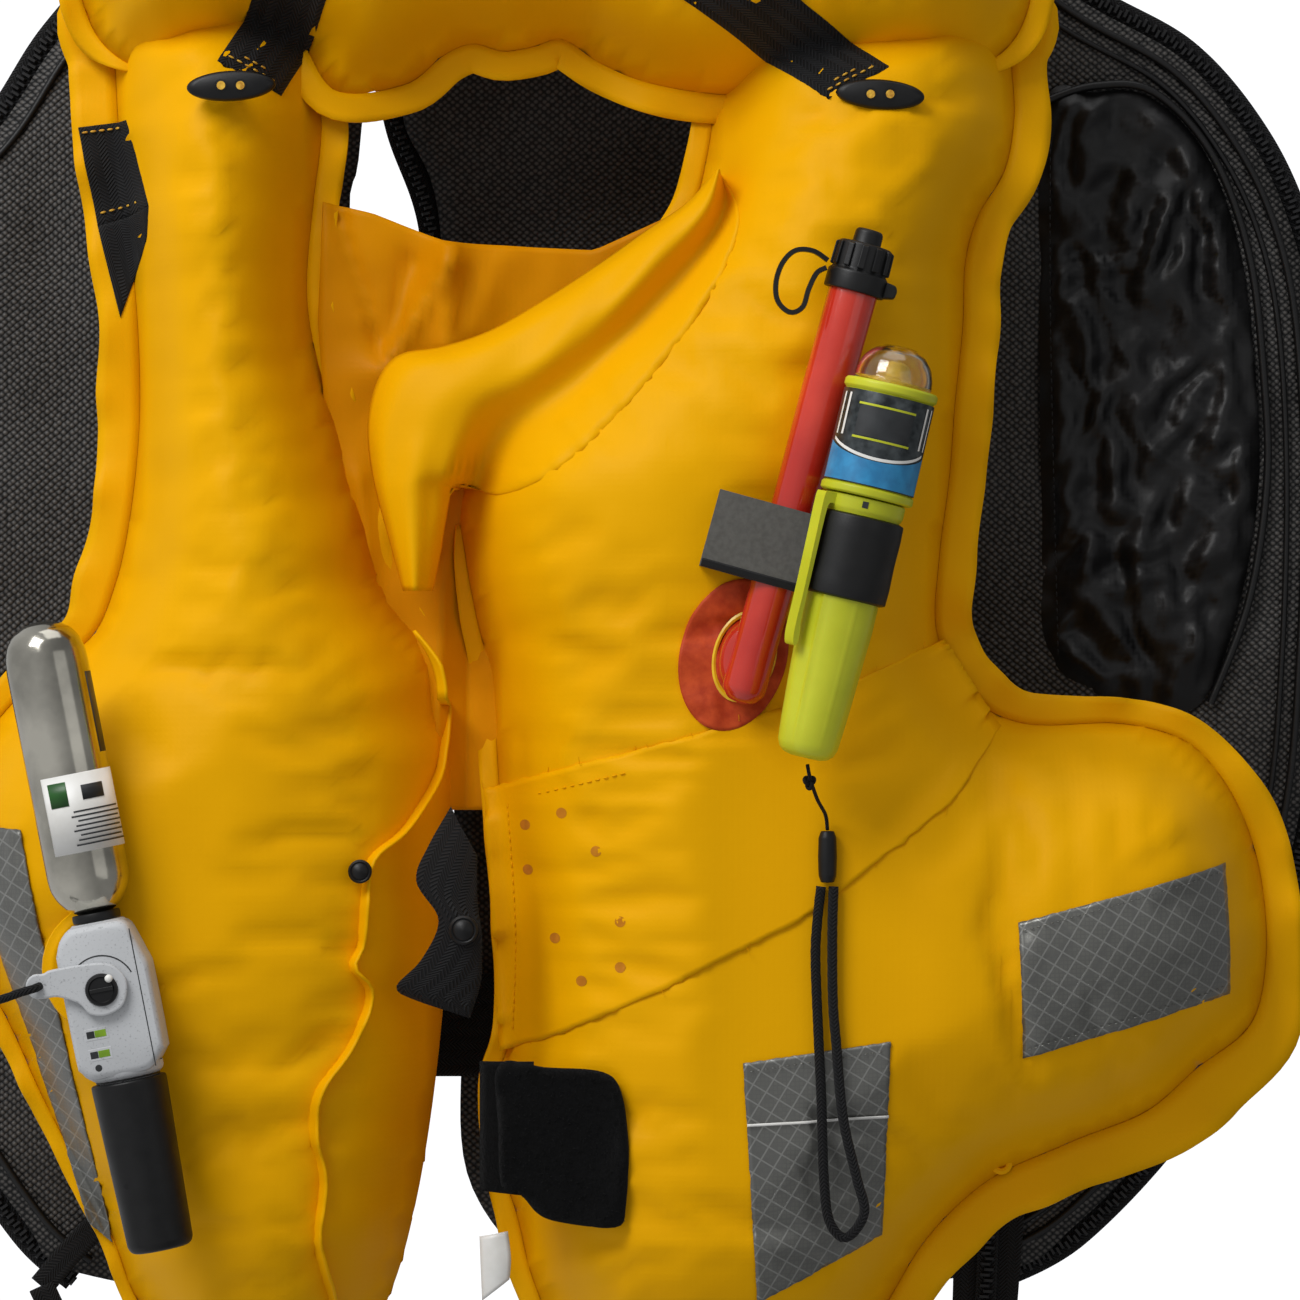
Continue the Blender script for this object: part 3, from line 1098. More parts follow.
def disc(name, x, z, rings, finish, slot, nodes=(), y=None, body="jacket", sides=40, stretch=1.0, lean=0.0):
    """Round welded or riveted piece from radius and height above the cloth."""
    base = skin_y(x, z)[0] if y is None else y
    points = [(px, base - h, pz) for r, h in rings for px, pz in oval(max(r, 0.02), max(r, 0.02) * stretch,
        sides, x, z, lean)]
    return sharp(piece(name, points, grid_faces(len(rings), sides, True), finish, body, slot, nodes), 45)


def build_tapes():
    t = sizes().tape / MM
    gap = 0.5
    lay_on("reflector_right_tape", four_corners([(184.4, -286), (264, -265), (266, -314), (186.6, -337)]),
        34, 52, gap + 0.5, "silver", "reflective_tape", ["reflector_right"], t, ragged=0.4, stiff=8)
    lay_on("reflector_low_tape", four_corners([(82.5, -338), (137, -330), (135, -404), (88, -428)]), 56,
        36, gap + 0.5, "silver", "reflective_tape", ["reflector_low"], t, ragged=0.4, stiff=8)
    lay_on("reflector_left_tape", four_corners([(-212, -250), (-186, -252), (-156, -410), (-165, -402)]),
        80, 20, gap + 1.2, "silver", "reflective_tape", ["reflector_left"], t, ragged=0.4, stiff=10)
    lay_on("tape_white_line", four_corners([(84, -360.4), (136.5, -357.6), (136.5, -358.6), (84, -361.4)]),
        3, 36, gap + t + 0.9, "paper", "reflective_tape", [], 0.15)
    stitches("tape_stitching", [[(186, -289), (263, -268)], [(188, -333.5), (265, -311)],
        [(85, -341), (135, -333.5)]], "silver", 2.6, 1.6, 0.22, t + 1.2)


def band_place(u, v):
    """The band narrows to its right end, and its ends are cut on the slant."""
    top = np.array([np.interp(u, [0, 0.2, 0.5, 0.78, 1], [-15, 13, 67, 117, 160]),
        np.interp(u, [0, 0.2, 0.5, 0.78, 1], [-238, -230, -216, -200, -181])])
    low = np.array([np.interp(u, [0, 0.1, 0.3, 0.62, 0.88, 1], [-9, 9, 44, 104, 160, 181]),
        np.interp(u, [0, 0.1, 0.3, 0.62, 0.88, 1], [-337, -331, -315, -285, -242, -214])])
    return top * (1 - v) + low * v


def build_band():
    lay_on("lobe_band_cloth", band_place, 44, 74, 1.0, "band", "band_cloth", ["lobe_band"], 0.7,
        ["right_lobe_skin"], 0.9, stiff=12)
    remember_flat("lobe_band_cloth")
    holes = [(1, -251), (15, -246), (2, -268), (28, -260), (37, -286), (12.5, -293), (37, -303),
        (22.5, -308.5)]
    parts = []
    for x, z in holes:
        rim = [(px, skin_y(px, pz)[0] - 0.12, pz) for px, pz in oval(2.0, 2.0, 16, x, z)]
        mid = [(px, skin_y(px, pz)[0] - 0.06, pz) for px, pz in oval(1.1, 1.1, 16, x, z)]
        parts.append((rim + mid, grid_faces(2, 16, True) + [tuple(range(16, 32))]))
    points, faces = merge(parts)
    piece("band_punched_holes", points, faces, "hole", "jacket", "band_cloth")
    stitches("band_stitching", [[(-6, -243), (-3, -290), (-4, -330)], [(6, -239), (40, -230.5)]], "band",
        3.2, 2.2, 0.25, 0.35)
    threads_loose = []
    rng = random.Random(5)
    for _ in range(26):  # frayed warp ends along the cut edges
        u, v = rng.random(), rng.choice((0.0, 1.0))
        x, z = band_place(u, v)
        if 88 < x < 130:  # the light's wrist loop rubs them off here
            continue
        y = skin_y(min(max(x, -4), 170), z)[0] - 0.6
        d = Vector((rng.uniform(-0.5, 0.5), rng.uniform(-0.5, 0.1), 1 if v == 0 else -1
            )).normalized() * rng.uniform(1.2, 3.2)
        a = Vector((x, y, z))
        s = Vector((0.12, 0, 0))
        threads_loose.append(([a - s, a + s, a + s + d, a - s + d, a + Vector((0, -0.2, 0)),
            a + Vector((0, -0.2, 0)) + d], [(0, 1, 2, 3), (0, 4, 5, 3), (1, 4, 5, 2)]))
    points, faces = merge(threads_loose)
    piece("band_frayed_ends", points, faces, "band", "jacket", "band_cloth")


def remember_flat(name):
    obj = bpy.data.objects[name]
    graph = bpy.context.evaluated_depsgraph_get()
    mesh = obj.evaluated_get(graph).to_mesh()
    SKIN[name] = BVHTree.FromPolygons([v.co / MM for v in mesh.vertices], [p.vertices[:]
        for p in mesh.polygons])
    obj.evaluated_get(graph).to_mesh_clear()


def build_webbing_pieces():
    w = sizes().webbing / MM
    for side, corners in (("left", [(-66, 128), (-41, 120), (-91, 24), (-114, 36)]),
            ("right", [(20, 84), (42, 100), (138, 33), (115, 21)])):
        lay_on(f"hood_strap_{side}_web", four_corners(corners), 46, 12, 0.6, "webbing", "webbing",
            [f"hood_strap_{side}"], w, ["collar_skin", "right_lobe_skin", "left_lobe_skin"], stiff=8,
            run=webbing_run(corners, 46, 12))
        remember_flat(f"hood_strap_{side}_web")
        a, b, c, d = (np.array(p, float) for p in corners)
        down = ((d + c) - (a + b)) / np.linalg.norm((d + c) - (a + b))
        rows = []
        for back, inset in ((3.5, 0.1), (6.0, 0.3)):
            left, right = d - down * back, c - down * back
            rows.append([tuple(left * (1 - inset) + right * inset),
                tuple(left * inset + right * (1 - inset))])
        stitches(f"hood_strap_{side}_stitching", rows)
    tab = [(-169.5, 13.6), (-151, 16), (-141, -18), (-162, -24)]
    lay_on("shoulder_tab_web", four_corners(tab), 18, 12, 0.6, "webbing", "webbing", ["shoulder_tab"], w,
        run=webbing_run(tab, 18, 12), stiff=6)
    tail = [(-162, -24), (-141, -18), (-142, -29), (-153, -59)]
    lay_on("shoulder_tab_tail", four_corners(tail), 16, 10, 0.6, "webbing", "webbing", [], w,
        run=webbing_run(tail, 16, 10), stiff=6)
    remember_flat("shoulder_tab_web")
    stitches("shoulder_tab_stitching", [[(-168, 11.5), (-152, 13.5)], [(-161, -19), (-144, -15)]])
    # webbing folded to a bow and pinched by a press stud
    bow = [((-26, -134, -244), (-16.5, -140, -262)), ((-34, -141, -258), (-16.5, -143, -272)),
        ((-38.5, -144, -271), (-16, -145, -281)), ((-30, -147, -285), (-14.5, -147, -291)),
        ((-36.5, -145, -300), (-14.5, -145, -300)), ((-46, -142, -310), (-15, -143, -309)),
        ((-41, -139, -314), (-19, -141, -322))]
    ribbon("bow_webbing_web", bow, 12, w, "webbing", "jacket", "webbing", ["bow_webbing"], 2.0, 2.5)
    disc("bow_press_stud", -21, -289, [(5.4, -1), (5.4, 0.8), (4.6, 1.5), (4.0, 1.2), (3.2, 2.2), (0, 2.6)
        ], "black", "black_plastic", ["bow_stud"], -149.5)
    disc("weld_press_stud", -59.5, -267.4, [(4.4, -1), (4.4, 0.8), (3.7, 1.4), (3.2, 1.1), (2.4, 1.9),
        (0, 2.2)], "black", "black_plastic", ["flange_stud"], skin_y(-59.5, -267.4)[0] - 5.5)
    disc("weld_eyelet_ring", 181.4, -380, [(1.7, -0.6), (2.0, 0.7), (3.0, 1.1), (4.2, 0.5), (4.4, -0.6)],
        "band", "band_cloth", ["eyelet"], SEAM_Y - 3)
    # round welded patch the inflator is screwed to
    disc("valve_weld_patch", -152, -303, [(25, 0.1), (24.6, 0.9), (22.4, 1.0), (21.8, 1.5), (20.4, 1.5),
        (19.8, 1.0), (9, 1.2), (8.4, 2.6), (0, 2.8)], "bladder", "band_cloth", ["valve_patch"],
        skin_y(-152, -303)[0] - 0.4)
    # threaded stem that carries the inflator, with its nut
    disc("inflator_manifold_stem", -151.5, -305, [(11.5, -1), (11.5, 3.2), (10.8, 3.8), (8.2, 4.0),
        (8.2, 21)], "black", "black_plastic", [], skin_y(-152, -303)[0] - 1.5)
    for x, z, lean in ((134, 22, 4), (-108, 25, -3)):
        side = "left" if x < 0 else "right"
        low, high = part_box(f"toggle_{side}")
        near, far = low.y / MM, high.y / MM
        skin = skin_y(x, z, default=far)[0]
        if skin - far > 3:  # a toggle that lies on the skin hides its shank
            disc(f"toggle_{side}_shank", x, z, [(2.6, -2), (2.0, 0.5), (1.5, skin - far - 1.6)], "black",
                "black_plastic", [], skin)
        rings = []
        for share, grow in ((near, 0.80), (near + 0.7, 0.95), (near + 1.8, 1.0), (far - 1.8, 1.0),
                (far - 0.6, 0.95), (far, 0.82)):
            rings += [(px, share, pz) for px, pz in oval(16.5 * grow, 5.6 * grow, 48, x, z, lean)]
        faces = grid_faces(6, 48, True) + [tuple(range(48)), tuple(range(287, 239, -1))]
        made = piece(f"toggle_{side}_body", rings, faces, "black", f"toggle_{side}", "black_plastic",
            [f"toggle_{side}"])
        sharp(made, 50)
        holes = merge([([(px, y, pz) for y in (near - 0.15, near + 0.2)
            for px, pz in oval(r, r, 20, x + dx, z)], grid_faces(2, 20, True)) for dx in (-3.6, 3.6)
            for r in (2.3, 1.7)])
        piece(f"toggle_{side}_hole_rims", *holes, "rubber", f"toggle_{side}", "black_plastic")
        thread = merge([([(px, near - 0.1, pz) for px, pz in oval(1.6, 1.6, 20, x + dx, z)],
            [tuple(range(20))]) for dx in (-3.6, 3.6)])
        piece(f"toggle_{side}_hole_thread", *thread, "thread", f"toggle_{side}", "black_plastic")


def build_tab():
    """Hook-and-loop tab: a flat base, and a flap folded over it whose corner lifts."""
    rows = [((-15, -142.6, -338), (5, -145, -338)), ((-15, -142.6, -362), (5, -145, -362)),
        ((-15, -142.6, -386), (4, -145, -388))]
    ribbon("tab_base_pile", rows, 8, 1.6, "pile", "jacket", "hook_loop", ["tab_base"], 2.5, 0.8)
    outline = curve_through([(-8, -339), (10, -340), (29.6, -341.5), (37, -348), (40, -370), (39, -392),
        (36, -399), (20, -398), (8, -395), (0, -387), (-7, -384), (-8, -362)], 2.0, True)
    flat, depth, _, _, faces = panel_grid(outline[:, :2], 2.0)
    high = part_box("tab_flap")[1]
    points = []
    for (x, z), d in zip(flat, depth):
        lift = 2.6 * math.exp(-d / 6) * max(0, wobble(x / 12, z / 16, seed=41) + 0.35) + 5.0 * max(0,
            (x - 22) / 18) ** 2 * 0.5
        pile = 0.35 * wobble(x * 1.7, z * 1.7, seed=43)
        points.append((x, high.y / MM - 1.0 - 0.9 * min(d / 3, 1) + pile * 0.5 - lift, z))
    thicken(piece("tab_flap_pile", points, faces, "pile", "flap", "hook_loop", ["tab_flap"]), 1.6)
    parts = []
    rng = random.Random(11)
    for _ in range(1500):  # loops of the pile catch the light along the flap
        x, z = rng.uniform(-7, 39), rng.uniform(-397, -341)
        if not inside(outline[:, :2], np.array([[x, z]]))[0]:
            continue
        i = int(np.argmin((flat[:, 0] - x) ** 2 + (flat[:, 1] - z) ** 2))
        y = points[i][1] - 0.8
        d = Vector((rng.uniform(-1, 1), rng.uniform(-0.9, -0.3), rng.uniform(-1, 1))) * 0.9
        a, s = Vector((x, y, z)), Vector((rng.uniform(-1, 1), 0, rng.uniform(-1, 1))).normalized() * 0.16
        parts.append(([a - s, a + s, a + d + s, a + d - s], [(0, 1, 2, 3)]))
    piece("tab_flap_fuzz", *merge(parts), "pile", "flap", "hook_loop")
    rows = [((-15.5, -132, -404), (-5, -133, -402)), ((-15, -133, -416), (-3.8, -134, -412)),
        ((-14.5, -132, -428), (-4.4, -133, -420))]
    ribbon("care_label_cloth", rows, 8, 0.35, "paper", "jacket", "label_cloth", ["care_label"], 2.0, 1.5)


# ---- oral tube ----
def build_tube():
    c = (79.0, -187.0)
    place = lambda u, v: oval(19.8 * v + 0.01, 28.6 * v + 0.01, 64, *c, lean=15)[int(round(u * 64)) % 64]
    lay_on("tube_base_patch", place, 20, 64, 1.1, "base", "red_base", ["tube_base"], 1.0,
        ["right_lobe_skin"], wrap=True)
    foot = (83.0, -187.5)
    y = min(skin_y(x, z)[0] for x, z in (foot, (76, -180), (90, -194)))
    disc("tube_base_ring", *foot, [(11.7, -0.6), (11.7, 1.9), (11.0, 2.3), (10.3, 1.9), (10.1, 1.0)],
        "lamp", "red_base", [], y, stretch=1.48, lean=15)
    disc("tube_base_boss", *foot, [(10.1, -0.6), (9.7, 1.8), (9.1, 4), (8.6, 7), (7.6, 9.4), (4, 10.7),
        (0, 11)], "red", "red_plastic", [], y, stretch=1.48, lean=15)
    fitting("oral_tube_wall", [(0.1, -7), (5, -6.2), (8, -2.5), (8.2, 4), (8.0, 14), (8.1, 40), (8.7, 80),
        (9.2, 112), (9.2, 160), (5.7, 160), (5.7, 150)], TUBE_TILT, TUBE_FOOT, "red", "jacket",
        "red_plastic", ["oral_tube"], 1.6)
    low = 150
    body = [(9.5, low), (11.3, low), (11.3, low + 7), (10.1, low + 8), (10.1, low + 17.6),
        (9.2, low + 18.2), (5.4, low + 18.2), (5.2, low + 22.8), (4.4, low + 23.8), (0.1, low + 24)]
    fitting("tube_cap_shell", body, TUBE_TILT, TUBE_FOOT, "rubber", "cap", "black_rubber", ["tube_cap"],
        0.6)
    ribs = []
    for k in range(12):
        a = 2 * math.pi * k / 12
        ring = []
        for h, r in ((low + 8.2, 9.6), (low + 8.6, 11.3), (low + 17.0, 11.1), (low + 17.8, 9.4)):
            for da in (-0.115, 0.115):
                ring.append((r * math.cos(a + da), r * math.sin(a + da), h))
        ribs.append((ring, [(0, 1, 3, 2), (2, 3, 5, 4), (4, 5, 7, 6), (0, 2, 4, 6), (1, 7, 5, 3)]))
    points, faces = merge(ribs)
    soften(piece("tube_cap_ribs", standing(points, TUBE_TILT, TUBE_FOOT), faces, "rubber", "cap",
        "black_rubber", smooth=False), 0.35)
    tab, faces = prism([(10.6, low + 0.4), (15.2, low + 1.4), (15.6, low + 4.4), (14.6, low + 6.2),
        (10.6, low + 6.8)], -3.4, 3.4)
    soften(piece("tube_cap_side_tab", standing(tab, TUBE_TILT, TUBE_FOOT), faces, "rubber", "cap",
        "black_rubber", smooth=False), 0.8, 3)
    line = curve_through([(113.5, -169, -42), (108, -170.5, -38.6), (101.5, -171, -38.5),
        (96.8, -171, -43), (94.4, -171, -50), (95, -171, -57), (99.5, -171, -61.2), (104.2, -170.5, -59.2),
        (106.4, -170, -52.6), (109.4, -169, -46.6), (113, -168, -44.6)], 1.2)
    points = []
    for i, p in enumerate(line):
        ahead = (line[min(i + 1, len(line) - 1)] - line[max(i - 1, 0)])
        side = Vector((ahead[2], 0, -ahead[0])).normalized()
        for u, v in ((-0.8, -1.7), (0.8, -1.7), (1.0, 0), (0.8, 1.7), (-0.8, 1.7), (-1.0, 0)):
            points.append(Vector(p) + side * u + Vector((0, v, 0)))
    made = piece("cap_tether_loop", points, grid_faces(len(line), 6, True) + [(0, 1, 2, 3, 4, 5)],
        "rubber", "cap", "black_rubber", ["cap_strap"])
    sharp(made, 50)
    # elastic holder: foam sleeve on the tube, rubber band round the light
    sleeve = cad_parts["holder_loop"]
    sleeve.data.materials.clear()
    sleeve.data.materials.append(FINISH["foam"])
    add_modifier(sleeve, "BEVEL", width=0.0009, segments=2, limit_method="ANGLE",
        angle_limit=math.radians(50))
    slit = [(-27.6, -9.75, 38.6), (9.0, -9.75, 38.6), (9.0, -9.75, 40.4), (-27.6, -9.75, 40.4),
        (-27.6, -9.0, 37.8), (9.0, -9.0, 37.8), (9.0, -9.0, 41.2), (-27.6, -9.0, 41.2)]
    piece("holder_edge_binding", standing(slit, TUBE_TILT, TUBE_FOOT), [(0, 1, 2, 3), (4, 5, 1, 0),
        (3, 2, 6, 7), (0, 3, 7, 4), (1, 5, 6, 2)], "black", "jacket", "foam", smooth=False)
    fitting("holder_rubber_band", [(14.25, 59.6), (15.9, 60.2), (16.1, 66), (15.9, 75), (16.1, 84),
        (15.9, 89.8), (14.25, 90.4)], LIGHT_TILT, LIGHT_FOOT, "rubber", "jacket", "black_rubber",
        ["holder_band"], 0.4, 96)


# ---- strobe light ----
def build_strobe():
    points, sides = [], 96
    heights = [0, 0.8, 2.4, 5, 12, 24, 38, 50, 62, 76, 88, 90.6, 91.6, 92.6, 96.6, 97]
    radii = [5.5, 8.4, 10.2, 11.3, 11.9, 12.6, 13.3, 13.9, 13.95, 13.95, 13.9, 14.0, 14.6, 15.0, 15.0, 14.4]
    for h, r in zip(heights, radii):
        for i in range(sides):
            a = 2 * math.pi * i / sides
            facet = 1 - 0.045 * max(0, math.cos(3 * a + 0.6)) ** 2 if h < 90 else 1
            thick_rib = 0.7 * math.exp(-(((a - 5.05) % (2 * math.pi)) / 0.05) ** 2)
            rib = thick_rib + 0.7 * math.exp(-(((a - 4.2) / 0.06) ** 2))
            points.append((r * facet * math.cos(a) + (rib * math.cos(a) if 6 < h < 86 else 0),
                r * facet * math.sin(a) + (rib * math.sin(a) if 6 < h < 86 else 0), h))
    n = len(heights)
    faces = grid_faces(n, sides, True) + [tuple(range(sides)),
        tuple(range(n * sides - 1, (n - 1) * sides - 1, -1))]
    sharp(piece("strobe_housing", standing(points, LIGHT_TILT, LIGHT_FOOT), faces, "lime", "light",
        "lime_plastic", ["strobe_body"]), 40)
    turn = Matrix.Rotation(math.pi + math.atan2(10, 15.5), 3, "Z")
    outline = curve_through([(14, 96), (18.6, 96.2), (19.8, 94.6), (19.6, 80), (19.3, 60), (19.4, 46),
        (18.9, 41), (17.8, 38.8), (16.6, 40.6), (16.9, 45), (17.5, 50), (17.6, 70), (17.6, 88),
        (16.8, 92.4), (14, 92.6)], 1.1, True)
    clip = []
    for depth in (-2.9, -2.6, 2.6, 2.9):
        clip += [turn @ Vector((x, depth, z)) for x, z in outline]
    m = len(outline)
    faces = grid_faces(4, m, True) + [tuple(range(m)), tuple(range(4 * m - 1, 3 * m - 1, -1))]
    sharp(piece("strobe_clip", standing(clip, LIGHT_TILT, LIGHT_FOOT), faces, "lime", "light",
        "lime_plastic"), 50)
    fitting("strobe_head_rims", [(0.1, 97.4), (16.4, 97.4), (17.2, 98), (17.2, 100.2), (16.5, 100.9),
        (16.2, 101), (16.2, 135.4), (16.6, 135.8), (17.3, 136.6), (17.3, 138.6), (16.6, 139.5),
        (0.1, 139.5)], LIGHT_TILT, LIGHT_FOOT, "lime", "light_head", "lime_plastic", ["strobe_collar"],
        0.3, 96)
    fitting("strobe_sticker", [(16.4, 101.2), (16.9, 101.3), (16.9, 135.1), (16.4, 135.2)], LIGHT_TILT,
        LIGHT_FOOT, "sticker", "light_head", "sticker", ["strobe_label"], 0.1, 96)

    def wrapped(name, a0, a1, low_edge, high_edge, finish, radius=17.05, count=28):
        pts = []
        for k in range(count + 1):
            a = math.radians(a0 + (a1 - a0) * k / count)
            t = k / count
            for h in (low_edge(t), high_edge(t)):
                pts.append((radius * math.cos(a), radius * math.sin(a), h))
        return piece(name, standing(pts, LIGHT_TILT, LIGHT_FOOT), grid_faces(count + 1, 2), finish,
            "light_head", "sticker")

    wrapped("sticker_blue_field", -168, -12, lambda t: 101.6, lambda t: 110.5 + 5 * abs(2 * t - 1) ** 2,
        "blue_ink")
    wrapped("sticker_pale_arc", -160, -20, lambda t: 110.8 + 5 * abs(2 * t - 1) ** 2,
        lambda t: 111.9 + 5 * abs(2 * t - 1) ** 2, "paper", 17.08)
    wrapped("sticker_lime_frame", -128, -52, lambda t: 117.6, lambda t: 118.4, "lime", 17.1)
    wrapped("sticker_lime_frame_top", -128, -52, lambda t: 130.0, lambda t: 130.8, "lime", 17.1)
    wrapped("sticker_dark_panel", -126, -54, lambda t: 118.8, lambda t: 129.6, "ink", 17.1)
    for k, at in enumerate((-160, -148, -34, -22)):
        wrapped(f"sticker_sheen_bar_{k}", at, at + 4, lambda t: 118, lambda t: 133.6, "paper", 17.06, 3)
    fitting("strobe_dome_shell", [(13.0, 139.6), (14.3, 139.7), (14.4, 141.5), (14.0, 144.4),
        (12.6, 148.4), (9.6, 151.8), (5.4, 153.9), (0.05, 154.5), (0.05, 153.3), (5.0, 152.6),
        (8.8, 150.6), (11.4, 147.6), (12.7, 144), (13.0, 141)], LIGHT_TILT, LIGHT_FOOT, "clear",
        "light_head", "clear_plastic", ["strobe_dome"], 1.2, 64)
    fitting("strobe_lamp_block", [(0.1, 139.6), (9.5, 139.6), (9.0, 141.6), (6.2, 142.6), (5.6, 145.2),
        (4.4, 147.6), (2.2, 149.0), (0.1, 149.4)], LIGHT_TILT, LIGHT_FOOT, "lamp", "light_head",
        "led_yellow", ["strobe_led"], 0.6)
    mark = [(x, -math.sqrt(15.2**2 - x * x), z) for x, z in ((-1.1, 93.2), (1.1, 93.2), (1.1, 95.6),
        (-1.1, 95.6))]
    piece("strobe_index_mark", standing(mark, LIGHT_TILT, LIGHT_FOOT), [(0, 1, 2, 3)], "ink", "light",
        "lime_plastic")


# ---- gas cylinder and inflator ----
def build_gas():
    gas = lambda name, profile, finish, body, slot, nodes=(), radius=0.5, sides=96: fitting(name, profile,
        GAS_TILT, GAS_FOOT, finish, body, slot, nodes, radius, sides)
    gas("gas_cylinder_shell", [(0.1, 116), (6.2, 116), (6.3, 126.6), (8.0, 127.2), (10.2, 128.8),
        (13.0, 132.4), (14.8, 136.6), (15.2, 141), (15.2, 218), (14.9, 223), (13.6, 227.6), (11.0, 231.4),
        (7.0, 234), (3, 235), (0.1, 235.2)], "steel", "cylinder", "steel", ["gas_cylinder"], 1.5)

    def wrap(name, a0, a1, z0, z1, finish, radius=15.34, count=36):
        pts = [(radius * math.cos(math.radians(a0 + (a1 - a0) * k / count)),
            radius * math.sin(math.radians(a0 + (a1 - a0) * k / count)), h) for k in range(count + 1)
            for h in (z0, z1)]
        return thicken(piece(name, standing(pts, GAS_TILT, GAS_FOOT), grid_faces(count + 1, 2), finish,
            "cylinder", "paper_label"), 0.12)

    label = wrap("cylinder_white_label", -128, 18, 149.2, 178, "paper")
    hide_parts("cylinder_label")
    for k in range(8):  # rules in place of the printed words
        wrap(f"label_rule_{k}", -92 + (k % 3) * 4, 2 - (k % 2) * 12, 151.6 + k * 1.75, 152.2 + k * 1.75,
            "ink", 15.5, 20)
    wrap("label_heavy_bar", -72, -38, 168.0, 173.4, "ink", 15.5)
    wrap("label_green_mark", -118, -92, 166.6, 175.6, "green_ink", 15.5)
    wrap("cylinder_print_stripe", -26, -4, 184, 214, "ink", 15.27, 8)
    gas("cylinder_seal_ring", [(6.4, 123.3), (8.8, 123.3), (9.0, 124.8), (8.8, 126.4), (6.4, 126.4)],
        "rubber", "gasket", "black_rubber", ["cylinder_gasket"])
    gas("capsule_cup", [(0.1, 0.3), (9.6, 0.2), (11.2, 1.0), (12.2, 3), (13.0, 30), (14.0, 61),
        (14.0, 63.2), (13.4, 63.8), (9.5, 63.8), (9.5, 55)], "black", "capsule", "black_plastic",
        ["capsule_cover"], 0.8)
    pin = standing([(0.9 * math.cos(k * math.pi / 8) - 7.2, -10.9, 0.9 * math.sin(k * math.pi / 8) + 26)
        for k in range(16)], GAS_TILT, GAS_FOOT)
    piece("capsule_vent", pin, [tuple(range(16))], "rubber", "capsule", "black_plastic")

    half_d = 14.6
    outline = [(-12.6, 66.6), (-6, 66.2), (7, 66.2), (11.4, 67.6), (15.6, 72.6), (16.4, 76), (16.4, 104),
        (15.6, 107.6), (11.8, 119.6), (9.6, 121.9), (6, 122.6), (-7, 122.6), (-10.6, 121.9),
        (-14.2, 118.2), (-16, 113.6), (-16.4, 110), (-16.4, 74), (-15.6, 70.4)]
    line = curve_through(outline, 2.0, True)
    centre = np.array([0.0, 95.0])
    points = []
    for y, grow in ((-half_d, 0.90), (-half_d + 0.5, 0.945), (-half_d + 1.6, 0.985), (-half_d + 3.2, 1.0),
            (half_d - 3.2, 1.0), (half_d - 1.0, 0.97), (half_d, 0.90)):
        for x, z in line:
            p = centre + (np.array([x, z]) - centre) * grow
            points.append((p[0], y, p[1]))
    m = len(line)
    faces = grid_faces(7, m, True) + [tuple(range(m)), tuple(range(7 * m - 1, 6 * m - 1, -1))]
    shell = piece("inflator_shell", standing(points, GAS_TILT, GAS_FOOT), faces, "grey", "jacket",
        "grey_plastic", ["inflator_body"])
    sharp(shell, 30)
    gas("inflator_capsule_collar", [(8.6, 60), (11.6, 64.6), (13.2, 65.8), (13.8, 67), (13.8, 69)], "grey",
        "jacket", "grey_plastic", [], 0.4)
    gas("inflator_cylinder_collar", [(6.4, 123.0), (9.6, 123.0), (10.4, 122.2), (10.8, 120)], "grey",
        "jacket", "grey_plastic", [], 0.4)

    def on_face(name, outline2, depth, height, finish, slot, body="jacket", nodes=(), edge=0.3):
        pts, fcs = prism(outline2, -half_d - height, -half_d + depth)
        made = piece(name, standing(pts, GAS_TILT, GAS_FOOT), fcs, finish, body, slot, nodes, smooth=False)
        return soften(made, edge, 2)

    for z0 in (81.7, 74.2):  # two windows: green behind, a dark one at the left of each
        frame_line = [(-11.4, z0 - 1.0), (-2.4, z0 - 1.0), (-2.4, z0 + 3.6), (-11.4, z0 + 3.6)]
        on_face(f"window_frame_{int(z0)}", frame_line, 0.4, 0.12, "grey", "grey_plastic")
        on_face(f"window_green_{int(z0)}", [(-7.6, z0), (-3.4, z0), (-3.4, z0 + 2.6), (-7.6, z0 + 2.6)],
            0.4, 0.22, "window", "indicator_green", edge=0.1)
        on_face(f"window_dark_{int(z0)}", [(-10.6, z0), (-7.7, z0), (-7.7, z0 + 2.6), (-10.6, z0 + 2.6)],
            0.4, 0.2, "ink", "indicator_green", edge=0.1)
    arc = [(LEVER_AT[0] + r * math.cos(a), LEVER_AT[1] + r * math.sin(a))
        for r, order in ((12.6, 1), (12.1, -1)) for a in np.linspace(0.35, 2.5, 20)[::order]]
    on_face("inflator_arc_line", arc, 0.3, 0.12, "ink", "grey_plastic", edge=0.05)
    on_face("inflator_dimple", oval(1.3, 1.3, 16, -8.5, 70.6), 0.3, 0.05, "ink", "grey_plastic", edge=0.05)
    seam_line = [(11.9, 67.5), (12.3, 67.5), (12.3, 118.6), (11.9, 118.6)]
    on_face("inflator_seam", seam_line, 0.3, 0.06, "ink", "grey_plastic", edge=0.02)
    lever = curve_through([(9.5, 0), (8.2, 5), (3.5, 9.2), (-6, 10.4), (-17, 10.6), (-20, 9.8),
        (-23.5, 10.2), (-26.4, 8.2), (-27, 4.6), (-24.8, 1.6), (-21, 0.8), (-16, 0.4), (-9, -3.5),
        (-6, -8), (0, -9.5), (6.6, -7)], 1.4, True)
    lever = [(x + LEVER_AT[0], z + LEVER_AT[1]) for x, z in lever]
